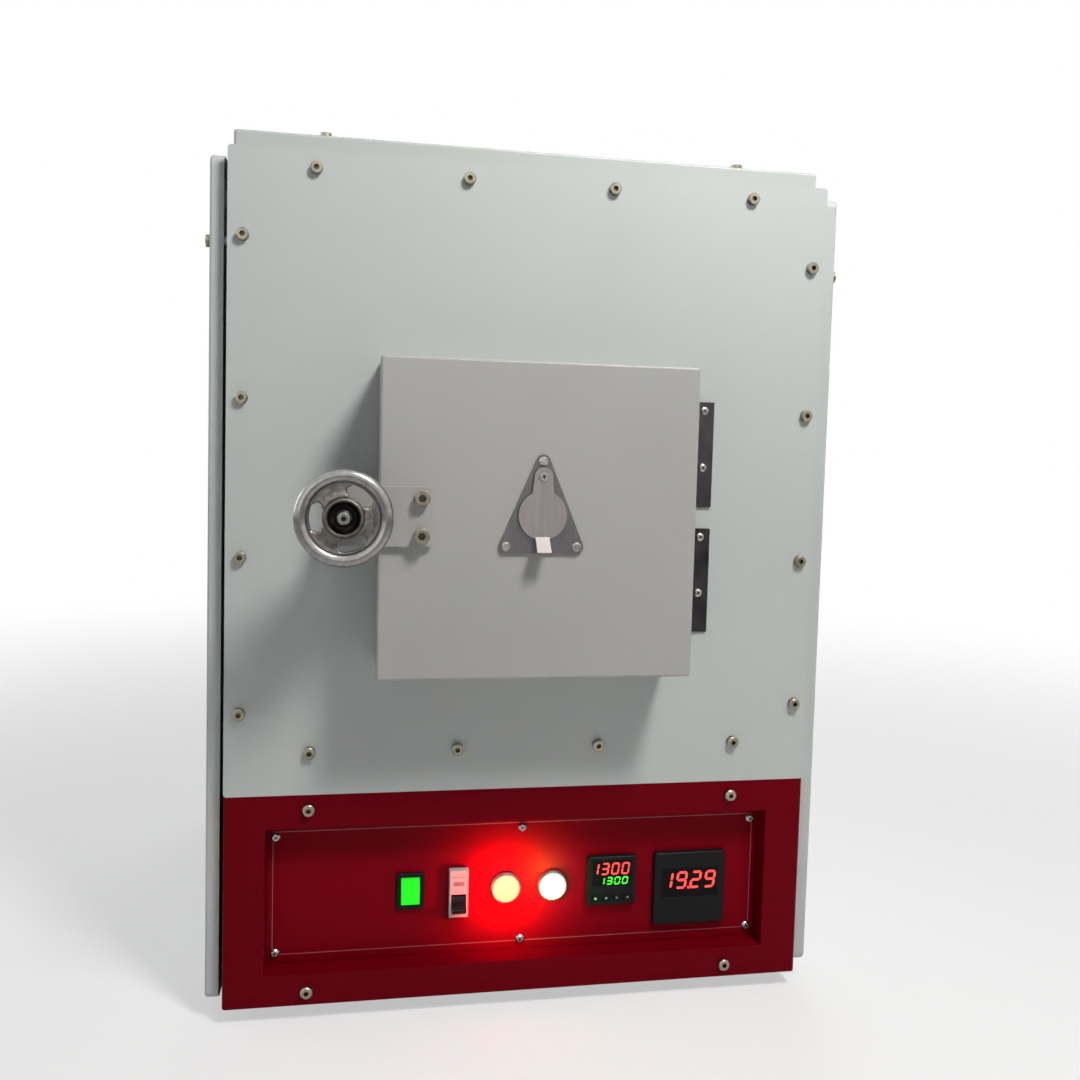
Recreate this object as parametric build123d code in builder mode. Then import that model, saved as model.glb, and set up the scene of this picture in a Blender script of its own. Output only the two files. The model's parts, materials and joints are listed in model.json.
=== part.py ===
"""Muffle furnace with a swing door, a handwheel latch and a recessed control panel.

Millimetres. X is to the right as seen from the front, Y runs from front to back and Z is
up. The origin is on the floor, under the middle of the whole outline. A depth below is
counted back from the front face of the grey front panel, so what stands in front of that
face has a negative depth.
"""
import os
from math import cos, radians, sin, sqrt

from build123d import *

os.makedirs("parts", exist_ok=True)

# Casing
panel_w = 544.0
panel_h = 566.0
fascia_h = 195.0
front_t = 2.0
body_depth = 600.0
foot_h = 15.0
foot_r = 18.0
foot_inset_x = 62.0
foot_inset_y = 80.0
sheet = 1.5
seam = 0.3
casing_inset = 4.0
flange = 28.0
deck_flange = 50.0
top_drop = 6.0
corner_r = 3.0
bend_r = 2.5

# Outer covers, which stand off the casing with an air gap
cover_stand = 16.5
cover_lip = 12.0
cover_setback = 12.0
cover_lift = 4.0
cover_top_drop = 5.0
cover_corner = 9.0
top_cover_rise = 19.5
top_cover_lip = 22.0
top_cover_setback = 20.0
top_cover_inset = 2.0
rear_room = 38.0
rear_clear = 4.0
post_r = 5.0

# Front fasteners, M6 socket-head screws
screw_r = 3.0
screw_head_r = 5.4
screw_head_h = 5.0
head_bevel = 0.8
socket_deep = 0.6
screw_hex = 2.5
screw_len = 11.0
screw_clear = 0.2
screw_room = 7.0
panel_screw_x = 132.0
panel_screw_edge = 15.0
panel_screw_low = 39.0
side_screw_edge = 13.0
side_screw_end = 75.0
fascia_screw_x = 396.0
fascia_screw_z = 168.0
fascia_screw_low = 14.0

# Recessed control panel
window_w = 472.0
window_h = 135.0
window_z = 97.5
recess = 21.0
plate_t = 2.0
plate_clear = 0.5
plate_screw_x = 228.0
plate_screw_z = 109.0
plate_screw_mid = 95.0
plate_ledge = 18.0
cut_clear = 0.2

# Control devices, each by the middle of its front
rocker_x, rocker_z = -105.0, 93.0
breaker_x, breaker_z = -60.0, 90.0
lamp_z = 92.0
red_lamp_x = -15.0
green_lamp_x = 30.0
controller_x, controller_z = 88.0, 95.0
meter_x, meter_z = 166.5, 84.0
device_stand = 6.0

# Chamber and insulation
chamber_w = 180.0
chamber_h = 180.0
chamber_d = 300.0
chamber_x = -6.0
chamber_z = 449.0
hot_face = 25.0
throat_d = 98.0
throat_flare = 14.0
throat_taper = 58.0
throat_margin = 4.0
element_r = 3.0
element_pocket = 8.0
element_pitch = 40.0
element_bend = 16.0
element_seat = 0.3

# Door
door_w = 271.0
door_h = 268.0
door_t = 70.5
door_gap = 1.0
door_air = 10.0
door_fit = 0.3
plug_depth = 50.0
plug_margin = 5.0
plug_taper = 13.0
pan_lip = 10.0

# Butt hinges at the door's right-hand rear corner
hinge_h = 98.0
hinge_pitch = 118.0
hinge_reach = 33.0
knuckle_r = 4.5
knuckle_gap = 0.4
hinge_pin_r = 2.5
leaf_t = 2.0
hinge_clear = 0.5
hinge_screw_r = 2.2
hinge_screw_z = (41.0, 14.0, -12.0, -40.0)
hinge_screw_x = (23.5, 13.0, 23.5, 13.0)

# Handwheel latch
latch_x = -168.5
latch_z = 452.0
bracket_w = 85.0
bracket_h = 49.0
bracket_t = 5.0
bracket_tail = 14.0
bolt_pitch = 31.0
bolt_edge = 9.0
bolt_r = 4.0
bolt_head_r = 6.5
bolt_head_h = 7.0
bolt_hex = 3.4
rod_r = 6.0
run_fit = 0.08
thread_pitch = 1.75
latch_turns = 7
boss_len = 34.0
boss_r = 12.0
boss_wall = 5.0
boss_gap = 1.0
washer_t = 2.0
washer_r = 12.0
wheel_r = 39.0
rim_r = 5.5
rim_lift = 9.0
hub_r = 15.0
hub_len = 7.0
cup_len = 5.0
web_t = 4.0
rod_stand = 15.5
turn_gap = 0.3

# Sight hole in the door
peep_z = 454.5
peep_r = 12.5
peep_wall = 3.0
peep_fit = 0.1
peep_plate_t = 2.0
peep_corner = 6.0
peep_base = 60.0
peep_low = 26.5
peep_high = 45.0
shutter_t = 1.5
shutter_stand = 2.0
shutter_r = 20.5
shutter_neck = 7.8
shutter_drop = 32.6
tab_w = 12.0
tab_len = 17.0
pivot_r = 2.0
pivot_fit = 0.08
small_head_r = 4.0
small_head_h = 2.6
small_r = 2.0
small_len = 6.0
small_bevel = 1.2

# Back of the furnace
gland_x, gland_z = -190.0, 60.0
gland_r = 12.0
gland_stand = 22.0
vent_w = 46.0
vent_h = 4.0

# Worked-out places
casing_depth = body_depth - rear_room
side_screw_pitch = (panel_h - 2 * side_screw_end) / 3
side_screw_mid = panel_h / 2
door_face = door_gap + door_t
travel = thread_pitch * latch_turns
hub_back = door_face + bracket_t + travel + 2 * turn_gap + washer_t
front_reach = hub_back + max(rod_stand, rim_lift + rim_r)
y_panel = (front_reach - body_depth - gland_stand) / 2
side_x = panel_w / 2 - casing_inset
cover_x = panel_w / 2 + cover_stand
base_z = foot_h
seam_z = foot_h + fascia_h
panel_top = seam_z + panel_h
casing_top = panel_top - top_drop
deck_z = seam_z + sheet + 0.5
inner_w = 2 * (side_x - sheet)
mid_z = foot_h + chamber_z
throat_z = mid_z
flange_front = front_t + 2 * sheet
board_front = flange_front + screw_room
chamber_front = board_front + throat_d
chamber_back_d = chamber_front + chamber_d
board_back = casing_depth - 2 * sheet
board_low = deck_z + sheet
board_high = casing_top - sheet
opening_w = chamber_w + 2 * (throat_flare + throat_margin)
opening_h = chamber_h + 2 * (throat_flare + throat_margin)
door_right = chamber_x + door_w / 2
axis_x = door_right + knuckle_r + hinge_clear
axis_d = -(knuckle_r + hinge_clear)
plate_front = recess
device_front = recess - device_stand
window_mid = foot_h + window_z
fascia_mid = foot_h + fascia_screw_low + fascia_screw_z / 2
rod_tip = boss_len + boss_gap
cover_low = foot_h + cover_lift
cover_high = panel_top - cover_top_drop
cover_depth = body_depth - rear_clear - cover_setback
top_cover_top = panel_top + top_cover_rise


def front(depth, x=0.0, z=0.0):
    """A plane that faces the front, with its own x along X and its own y along Z."""
    return Plane((x, y_panel + depth, z), x_dir=(1, 0, 0), z_dir=(0, -1, 0))


def radial(depth, x, z):
    """A plane through an axis that runs front to back: own x outwards, own y forwards."""
    return Plane((x, y_panel + depth, z), x_dir=(1, 0, 0), z_dir=(0, 0, -1))


def tilted(x, depth, z, lift):
    """A side plane that faces left, whose own x points forwards and up by some degrees."""
    lean = radians(lift)
    return Plane((x, y_panel + depth, z), x_dir=(0, -cos(lean), sin(lean)), z_dir=(-1, 0, 0))


def through(x, z):
    """The axis at x and z that runs from back to front."""
    return Axis((x, 0, z), (0, -1, 0))


def save(piece, name):
    piece.part.label = name
    export_step(piece.part, f"parts/{name}.step")


def board(name, x0, x1, d0, d1, z0, z1):
    """A plain rectangular board between two corners."""
    with BuildPart() as piece:
        with BuildSketch(front(d0, (x0 + x1) / 2, (z0 + z1) / 2)):
            Rectangle(x1 - x0, z1 - z0)
        extrude(amount=d0 - d1)
    save(piece, name)


# Feet: four rubber pads under the chassis
foot_taper = 6.0
foot_round = 2.0
with BuildPart() as feet:
    with BuildSketch(Plane.XY):
        with Locations((0, y_panel + body_depth / 2)):
            with GridLocations(panel_w - 2 * foot_inset_x, body_depth - 2 * foot_inset_y, 2, 2):
                Circle(foot_r)
    extrude(amount=base_z + front_t + 2 * seam, taper=-foot_taper)
    fillet(feet.edges().filter_by(GeomType.CIRCLE).group_by(Axis.Z)[0], foot_round)
save(feet, "feet")

# Chassis: a folded tray that carries the hot box on its top flanges
chassis_z0 = base_z + front_t + 2 * seam
chassis_h = deck_z - chassis_z0
ring_gap = 5.0
tail_h = 45.0
hook_w = 14.0
hook_inset = 60.0
with BuildPart() as base_chassis:
    with BuildSketch(front(front_t, 0, chassis_z0 + chassis_h / 2)):
        Rectangle(2 * side_x, chassis_h)
        Rectangle(2 * (side_x - sheet), chassis_h - 2 * sheet, mode=Mode.SUBTRACT)
        with Locations((0, chassis_h / 2)):
            Rectangle(2 * (side_x - flange), 4 * sheet, mode=Mode.SUBTRACT)
    extrude(amount=front_t - casing_depth)
    with BuildSketch(front(front_t, 0, chassis_z0 + chassis_h / 2)):
        Rectangle(2 * side_x, chassis_h)
        with Locations((0, window_mid - chassis_z0 - chassis_h / 2)):
            Rectangle(window_w + 2 * ring_gap, window_h + 2 * ring_gap, mode=Mode.SUBTRACT)
        with Locations((0, fascia_mid - chassis_z0 - chassis_h / 2)):
            with GridLocations(fascia_screw_x, fascia_screw_z, 2, 2):
                Circle(screw_r + screw_clear, mode=Mode.SUBTRACT)
    extrude(amount=-sheet)
    with BuildSketch(front(casing_depth, 0, chassis_z0 + tail_h / 2)):
        Rectangle(2 * side_x, tail_h)
    extrude(amount=sheet)
    for side in (-1, 1):
        with BuildSketch(front(hook_inset, side * (side_x + hook_w / 2), cover_low - sheet / 2)):
            Rectangle(hook_w, sheet)
        extrude(amount=2 * hook_inset - casing_depth)
save(base_chassis, "base_chassis")

# Front panel: flat sheet with the throat opening and sixteen screw holes
row_low = seam_z + panel_screw_low
row_high = panel_top - panel_screw_edge
with BuildPart() as front_panel:
    with BuildSketch(front(0, 0, seam_z + seam + (panel_h - seam) / 2)):
        RectangleRounded(panel_w, panel_h - seam, corner_r)
    extrude(amount=-front_t)
    with BuildSketch(front(0, chamber_x, throat_z)):
        RectangleRounded(opening_w + 2 * front_t, opening_h + 2 * front_t, corner_r + front_t)
    extrude(amount=seam - board_front)
    with BuildSketch(front(0, chamber_x, throat_z)):
        RectangleRounded(opening_w, opening_h, corner_r)
    extrude(amount=-board_front, mode=Mode.SUBTRACT)
    with BuildSketch(front(0, 0, (row_low + row_high) / 2)):
        with GridLocations(panel_screw_x, row_high - row_low, 4, 2):
            Circle(screw_r + screw_clear)
    extrude(amount=-front_t, mode=Mode.SUBTRACT)
    with BuildSketch(front(0, 0, seam_z + side_screw_mid)):
        with GridLocations(panel_w - 2 * side_screw_edge, side_screw_pitch, 2, 4):
            Circle(screw_r + screw_clear)
    extrude(amount=-front_t, mode=Mode.SUBTRACT)
save(front_panel, "front_panel")

# Latch boss: the tapped post on the front panel that the latch rod screws into
with BuildPart() as latch_boss:
    with BuildSketch(radial(0, latch_x, foot_h + latch_z)):
        with BuildLine():
            Polyline((rod_r + run_fit, boss_wall), (0, boss_wall), (0, 0), (boss_r + 4, 0))
            RadiusArc((boss_r + 4, 0), (boss_r, 4), 4)
            Polyline((boss_r, 4), (boss_r, boss_len - 1), (boss_r - 1, boss_len),
                     (rod_r + run_fit + 1, boss_len), (rod_r + run_fit, boss_len - 1),
                     (rod_r + run_fit, boss_wall))
        make_face()
    revolve(axis=through(latch_x, foot_h + latch_z))
save(latch_boss, "latch_boss")

# Fascia: folded red sheet with side and bottom returns and a walled window
fascia_return = 22.0
with BuildPart() as fascia:
    with BuildSketch(front(0, 0, base_z + fascia_h / 2)):
        Rectangle(panel_w, fascia_h)
    extrude(amount=-fascia_return)
    fillet(fascia.edges().filter_by(Axis.Z).group_by(Axis.Y)[0], bend_r)
    fillet(fascia.edges().filter_by(Axis.Y).group_by(Axis.Z)[0], bend_r)
    offset(amount=-front_t, openings=[fascia.faces().sort_by(Axis.Y)[-1],
                                      fascia.faces().filter_by(Axis.Z).sort_by(Axis.Z)[-1]])
    with BuildSketch(front(0, 0, window_mid)):
        RectangleRounded(window_w + 2 * front_t, window_h + 2 * front_t, corner_r)
    extrude(amount=-(recess + plate_t + front_t))
    with BuildSketch(front(0, 0, window_mid)):
        RectangleRounded(window_w, window_h, corner_r - 1)
    extrude(amount=-(recess + plate_t), mode=Mode.SUBTRACT)
    with BuildSketch(front(0, 0, window_mid)):
        RectangleRounded(window_w - 2 * plate_ledge, window_h - 2 * plate_ledge, corner_r)
    extrude(amount=-(recess + plate_t + front_t), mode=Mode.SUBTRACT)
    with BuildSketch(front(0, 0, fascia_mid)):
        with GridLocations(fascia_screw_x, fascia_screw_z, 2, 2):
            Circle(screw_r + screw_clear)
    extrude(amount=-front_t, mode=Mode.SUBTRACT)
    with BuildSketch(front(recess + plate_t, 0, foot_h + plate_screw_mid)):
        with GridLocations(plate_screw_x, plate_screw_z, 3, 2):
            Circle(small_r + screw_clear)
    extrude(amount=-front_t, mode=Mode.SUBTRACT)
save(fascia, "fascia")

# Side covers: shallow pans that stand off the casing on posts and hook on the chassis
side_post_z = panel_top - 78.0
side_post_d = (cover_setback + 10.0, casing_depth - 20.0)
for side, name in ((-1, "left_cover"), (1, "right_cover")):
    with BuildPart() as cover:
        with BuildSketch(Plane.YZ.offset(side * (cover_x - cover_lip))):
            with Locations((y_panel + cover_setback + cover_depth / 2, (cover_low + cover_high) / 2)):
                RectangleRounded(cover_depth, cover_high - cover_low, cover_corner)
        extrude(amount=side * cover_lip)
        fillet(cover.faces().sort_by(Axis.X)[-1 if side > 0 else 0].edges(), bend_r)
        offset(amount=-sheet, openings=cover.faces().filter_by(Axis.X).sort_by(Axis.X)[0 if side > 0 else -1])
        with BuildSketch(Plane.YZ.offset(side * cover_x)):
            with Locations(*[(y_panel + d, side_post_z) for d in side_post_d]):
                Circle(screw_r + screw_clear)
        extrude(amount=-side * 2 * sheet, mode=Mode.SUBTRACT)
    save(cover, name)

# Inner casing sides: folded channels with the posts for the side covers
for side, name in ((-1, "inner_left"), (1, "inner_right")):
    with BuildPart() as wall:
        with BuildSketch(Plane.XY.offset(deck_z)):
            with Locations((side * (side_x - flange / 2), y_panel + (front_t + casing_depth) / 2)):
                Rectangle(flange, casing_depth - front_t)
            with Locations((side * (side_x - sheet - flange / 2), y_panel + (front_t + casing_depth) / 2)):
                Rectangle(flange, casing_depth - front_t - 2 * sheet, mode=Mode.SUBTRACT)
        extrude(amount=casing_top - deck_z)
        with BuildSketch(Plane.YZ.offset(side * side_x)):
            with Locations(*[(y_panel + d, side_post_z) for d in side_post_d]):
                Circle(post_r)
        extrude(amount=side * (cover_x - sheet - side_x))
        with BuildSketch(front(front_t, 0, seam_z + side_screw_mid)):
            with GridLocations(panel_w - 2 * side_screw_edge, side_screw_pitch, 2, 4):
                Circle(screw_r + screw_clear)
        extrude(amount=-sheet, mode=Mode.SUBTRACT)
    save(wall, name)

# Inner casing top and deck: flanged sheets that fit between the side channels
top_post_x = 192.0
top_post_d = (top_cover_setback + 10.0, casing_depth - 20.0)
with BuildPart() as inner_top:
    with BuildSketch(Plane.YZ.offset(-inner_w / 2)):
        with Locations((y_panel + (flange_front + board_back) / 2, casing_top - flange / 2)):
            Rectangle(board_back - flange_front + 2 * sheet, flange)
            with Locations((0, -sheet)):
                Rectangle(board_back - flange_front, flange, mode=Mode.SUBTRACT)
    extrude(amount=inner_w)
    with BuildSketch(Plane.XY.offset(casing_top)):
        with Locations(*[(x, y_panel + d) for x in (-top_post_x, top_post_x) for d in top_post_d]):
            Circle(post_r)
    extrude(amount=top_cover_top - sheet - casing_top)
    with BuildSketch(front(front_t + sheet, 0, row_high)):
        with GridLocations(panel_screw_x, 1, 4, 1):
            Circle(screw_r + screw_clear)
    extrude(amount=-sheet, mode=Mode.SUBTRACT)
save(inner_top, "inner_top")

with BuildPart() as inner_deck:
    with BuildSketch(Plane.YZ.offset(-inner_w / 2)):
        with Locations((y_panel + (flange_front + board_back) / 2, deck_z + deck_flange / 2)):
            Rectangle(board_back - flange_front + 2 * sheet, deck_flange)
            with Locations((0, sheet)):
                Rectangle(board_back - flange_front, deck_flange, mode=Mode.SUBTRACT)
    extrude(amount=inner_w)
    with BuildSketch(front(front_t + sheet, 0, row_low)):
        with GridLocations(panel_screw_x, 1, 4, 1):
            Circle(screw_r + screw_clear)
    extrude(amount=-sheet, mode=Mode.SUBTRACT)
save(inner_deck, "inner_deck")

# Heating element places, used by the holes behind them
element_z = [throat_z + element_pitch * k for k in (-1.5, -0.5, 0.5, 1.5)]
element_out = chamber_w / 2 + element_pocket - element_seat - element_r
element_x = [chamber_x + side * element_out for side in (-1, 1)]
tail_holes = [(x - chamber_x, z - throat_z) for x in element_x for z in (element_z[0], element_z[-1])]
tail_clear = 1.0
probe_z = chamber_h / 2 - 28.0
probe_r = 5.0
probe_reach = 30.0


def tails(depth):
    """The holes for the element tails and the thermocouple, drawn at a depth."""
    with BuildSketch(front(depth, chamber_x, throat_z)) as holes:
        with Locations(*tail_holes):
            Circle(element_r + tail_clear)
        with Locations((0, probe_z)):
            Circle(probe_r + tail_clear / 2)
    return holes.sketch


# Inner back: closes the hot box and carries the posts of the rear cover
rear_post_x = 200.0
rear_post_z = (deck_z + 60.0, mid_z, casing_top - 40.0)
vent_low, vent_drop = 95.0, 90.0
vent_gap = 14.0
vent_grid = (4, 6)
rear_inside = body_depth - sheet
with BuildPart() as inner_back:
    with BuildSketch(front(casing_depth, 0, (deck_z + casing_top) / 2)):
        Rectangle(2 * side_x, casing_top - deck_z)
    extrude(amount=-sheet)
    with BuildSketch(front(casing_depth + sheet)):
        with Locations(*[(x, z) for x in (-rear_post_x, rear_post_x) for z in rear_post_z]):
            Circle(post_r)
    extrude(amount=-(rear_inside - casing_depth - sheet))
    extrude(tails(casing_depth), amount=-sheet, mode=Mode.SUBTRACT)
save(inner_back, "inner_back")

# Top cover: a pan open downwards, set back behind the front panel
with BuildPart() as top_cover:
    with BuildSketch(Plane.XY.offset(top_cover_top)):
        with Locations((0, y_panel + (top_cover_setback + body_depth - rear_clear) / 2)):
            RectangleRounded(panel_w - 2 * top_cover_inset,
                             body_depth - rear_clear - top_cover_setback, corner_r)
    extrude(amount=-top_cover_lip)
    fillet(top_cover.faces().sort_by(Axis.Z)[-1].edges(), bend_r)
    offset(amount=-sheet, openings=top_cover.faces().sort_by(Axis.Z)[0])
    with BuildSketch(Plane.XY.offset(top_cover_top)):
        with Locations(*[(x, y_panel + d) for x in (-top_post_x, top_post_x) for d in top_post_d]):
            Circle(screw_r + screw_clear)
    extrude(amount=-2 * sheet, mode=Mode.SUBTRACT)
save(top_cover, "top_cover")

# Rear cover: a deep pan with two banks of vents and the hole of the cable gland
rear_w = 2 * side_x
with BuildPart() as rear_cover:
    with BuildSketch(front(body_depth, 0, (cover_low + cover_high) / 2)):
        RectangleRounded(rear_w, cover_high - cover_low, corner_r + 1)
    extrude(amount=body_depth - casing_depth - 2 * sheet)
    fillet(rear_cover.faces().sort_by(Axis.Y)[-1].edges(), bend_r)
    offset(amount=-sheet, openings=rear_cover.faces().sort_by(Axis.Y)[0])
    with BuildSketch(front(rear_inside)):
        with Locations(*[(x, z) for x in (-rear_post_x, rear_post_x) for z in rear_post_z]):
            Circle(screw_r + screw_clear)
        with Locations((gland_x, gland_z)):
            Circle(gland_r - 3)
        for bank_z in (foot_h + vent_low, panel_top - vent_drop):
            with Locations((0, bank_z)):
                with GridLocations(vent_w + vent_gap, 3 * vent_h, *vent_grid):
                    SlotOverall(vent_w, vent_h)
    extrude(amount=-2 * sheet, mode=Mode.SUBTRACT)
save(rear_cover, "rear_cover")

# Insulation behind the front: left, right, top, bottom and back boards
room_x = chamber_w / 2 + hot_face
room_z = chamber_h / 2 + hot_face
back_d = chamber_back_d + hot_face
with BuildPart() as insulation_boards:
    for x0, x1 in ((-inner_w / 2, chamber_x - room_x), (chamber_x + room_x, inner_w / 2)):
        with BuildSketch(front(chamber_front, (x0 + x1) / 2, (board_low + board_high) / 2)):
            Rectangle(x1 - x0, board_high - board_low)
        extrude(amount=chamber_front - board_back)
    for z0, z1 in ((board_low, throat_z - room_z), (throat_z + room_z, board_high)):
        with BuildSketch(front(chamber_front, chamber_x, (z0 + z1) / 2)):
            Rectangle(2 * (room_x - seam), z1 - z0)
        extrude(amount=chamber_front - board_back)
    with BuildSketch(front(back_d, chamber_x, throat_z)):
        Rectangle(2 * (room_x - seam), 2 * (room_z - seam))
    extrude(amount=back_d - board_back)
    extrude(tails(back_d), amount=back_d - board_back, mode=Mode.SUBTRACT)
save(insulation_boards, "insulation_boards")

# Throat frame: the thick front board, flared so that the door's plug can swing out
with BuildPart() as throat_frame:
    with BuildSketch(front(board_front, 0, (board_low + board_high) / 2)):
        Rectangle(inner_w, board_high - board_low)
    extrude(amount=-throat_d)
    with BuildSketch(front(board_front, chamber_x, throat_z)):
        Rectangle(chamber_w + 2 * throat_flare, chamber_h + 2 * throat_flare)
    with BuildSketch(front(board_front + throat_taper, chamber_x, throat_z)):
        Rectangle(chamber_w, chamber_h)
    loft(mode=Mode.SUBTRACT)
    with BuildSketch(front(board_front + throat_taper, chamber_x, throat_z)):
        Rectangle(chamber_w, chamber_h)
    extrude(amount=-throat_d, mode=Mode.SUBTRACT)
save(throat_frame, "throat_frame")

# Hot-face boards round the chamber: the side walls carry the elements in a pocket
for side, name in ((-1, "chamber_left"), (1, "chamber_right")):
    with BuildPart() as hot_wall:
        with BuildSketch(front(chamber_front, chamber_x + side * (room_x - hot_face / 2), throat_z)):
            Rectangle(hot_face, 2 * room_z)
        extrude(amount=-chamber_d)
        with BuildSketch(front(chamber_front + hot_face, chamber_x + side * chamber_w / 2, throat_z)):
            Rectangle(2 * element_pocket, 4 * element_pitch)
        extrude(amount=hot_face - chamber_d, mode=Mode.SUBTRACT)
    save(hot_wall, name)

board("chamber_roof", chamber_x - chamber_w / 2, chamber_x + chamber_w / 2,
      chamber_front, chamber_back_d, throat_z + chamber_h / 2, throat_z + room_z)
board("hearth", chamber_x - chamber_w / 2, chamber_x + chamber_w / 2,
      chamber_front, chamber_back_d, throat_z - room_z, throat_z - chamber_h / 2)

with BuildPart() as chamber_back:
    with BuildSketch(front(chamber_back_d, chamber_x, throat_z)):
        Rectangle(2 * room_x, 2 * room_z)
    extrude(amount=-hot_face)
    extrude(tails(chamber_back_d), amount=-hot_face, mode=Mode.SUBTRACT)
save(chamber_back, "chamber_back")

# Heating elements: one bent rod in each side wall, with both tails out through the back
tail_end = y_panel + casing_depth + 14.0
bend_near = y_panel + chamber_front + hot_face + 16.0
bend_far = y_panel + chamber_back_d - 24.0
with BuildPart() as heating_elements:
    for x in element_x:
        with BuildLine(Plane.YZ.offset(x)) as run:
            FilletPolyline((tail_end, element_z[0]), (bend_near, element_z[0]),
                           (bend_near, element_z[1]), (bend_far, element_z[1]),
                           (bend_far, element_z[2]), (bend_near, element_z[2]),
                           (bend_near, element_z[3]), (tail_end, element_z[3]),
                           radius=element_bend)
        with BuildSketch(Plane((x, tail_end, element_z[0]), z_dir=(0, -1, 0))):
            Circle(element_r)
        sweep(path=run.wires()[0])
save(heating_elements, "heating_elements")

# Thermocouple: a ceramic sheath into the chamber with its head behind the casing
probe_head_r = 13.0
probe_head = 24.0
with BuildPart() as thermocouple:
    with BuildSketch(front(chamber_back_d - probe_reach, chamber_x, throat_z + probe_z)):
        Circle(probe_r)
    extrude(amount=chamber_back_d - probe_reach - casing_depth - sheet)
    fillet(thermocouple.edges().sort_by(Axis.Y)[0], probe_r - 1)
    with BuildSketch(front(casing_depth + sheet, chamber_x, throat_z + probe_z)):
        Circle(probe_head_r)
    extrude(amount=-probe_head)
save(thermocouple, "thermocouple")

# Control plate: flat sheet on the ledge of the window, with a cut-out for each device
rocker_cut = (22.4, 30.4)
breaker_cut = (18.4, 45.4)
lamp_body_r = 11.0
controller_cut = 45.4
meter_cut = 66.4
with BuildPart() as control_plate:
    with BuildSketch(front(plate_front, 0, window_mid)):
        RectangleRounded(window_w - 2 * plate_clear, window_h - 2 * plate_clear, 1.5)
    extrude(amount=-plate_t)
    with BuildSketch(front(plate_front, 0, foot_h)):
        with Locations((0, plate_screw_mid)):
            with GridLocations(plate_screw_x, plate_screw_z, 3, 2):
                Circle(small_r + screw_clear)
        with Locations((rocker_x, rocker_z)):
            Rectangle(*rocker_cut)
        with Locations((breaker_x, breaker_z)):
            Rectangle(*breaker_cut)
        with Locations((red_lamp_x, lamp_z), (green_lamp_x, lamp_z)):
            Circle(lamp_body_r + cut_clear)
        with Locations((controller_x, controller_z)):
            Rectangle(controller_cut, controller_cut)
        with Locations((meter_x, meter_z)):
            Rectangle(meter_cut, meter_cut)
    extrude(amount=-plate_t, mode=Mode.SUBTRACT)
save(control_plate, "control_plate")

# Mains rocker switch: a framed body and a key that tilts on a cross pin
rocker_w, rocker_h = 26.0, 35.0
rocker_stand = 3.0
key_w, key_h = 17.0, 25.2
key_gap = 0.4
key_rise = 6.0
key_back = 4.0
key_tilt = 12.0
key_slope = 2.7
rocker_pin_r = 1.2
rocker_axis_d = plate_front + 1.0
well_d = plate_front + 12.0
rocker_deep = 22.0
with BuildPart() as rocker_body:
    with BuildSketch(front(plate_front, rocker_x, foot_h + rocker_z)):
        RectangleRounded(rocker_w, rocker_h, 2.0)
    extrude(amount=rocker_stand)
    fillet(rocker_body.faces().sort_by(Axis.Y)[0].edges(), 1.0)
    with BuildSketch(front(plate_front, rocker_x, foot_h + rocker_z)):
        Rectangle(rocker_cut[0] - 2 * cut_clear, rocker_cut[1] - 2 * cut_clear)
    extrude(amount=-rocker_deep)
    with BuildSketch(front(plate_front - rocker_stand, rocker_x, foot_h + rocker_z)):
        Rectangle(key_w + 2 * key_gap, key_h + 4 * key_gap)
    extrude(amount=plate_front - rocker_stand - well_d, mode=Mode.SUBTRACT)
    for side in (-1, 1):
        with BuildSketch(Plane.YZ.offset(rocker_x + side * (key_w / 2 + key_gap))):
            with Locations((y_panel + rocker_axis_d, foot_h + rocker_z)):
                Circle(rocker_pin_r)
        extrude(amount=-side * 2)
save(rocker_body, "rocker_body")

rocker_frame = tilted(rocker_x - key_w / 2, rocker_axis_d, foot_h + rocker_z, key_tilt)
pin_hole = 2.2
with BuildPart() as rocker_key:
    with BuildSketch(rocker_frame):
        with BuildLine():
            Polyline((key_rise, 0), (key_rise - key_slope, key_h / 2), (-key_back, key_h / 2 - 0.4),
                     (-key_back, -key_h / 2 + 0.4), (key_rise - key_slope, -key_h / 2), close=True)
        make_face()
    extrude(amount=-key_w)
    for inset in (0, key_w - pin_hole):
        with BuildSketch(rocker_frame.offset(-inset)):
            Circle(rocker_pin_r + run_fit)
        extrude(amount=-pin_hole, mode=Mode.SUBTRACT)
save(rocker_key, "rocker_key")

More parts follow.
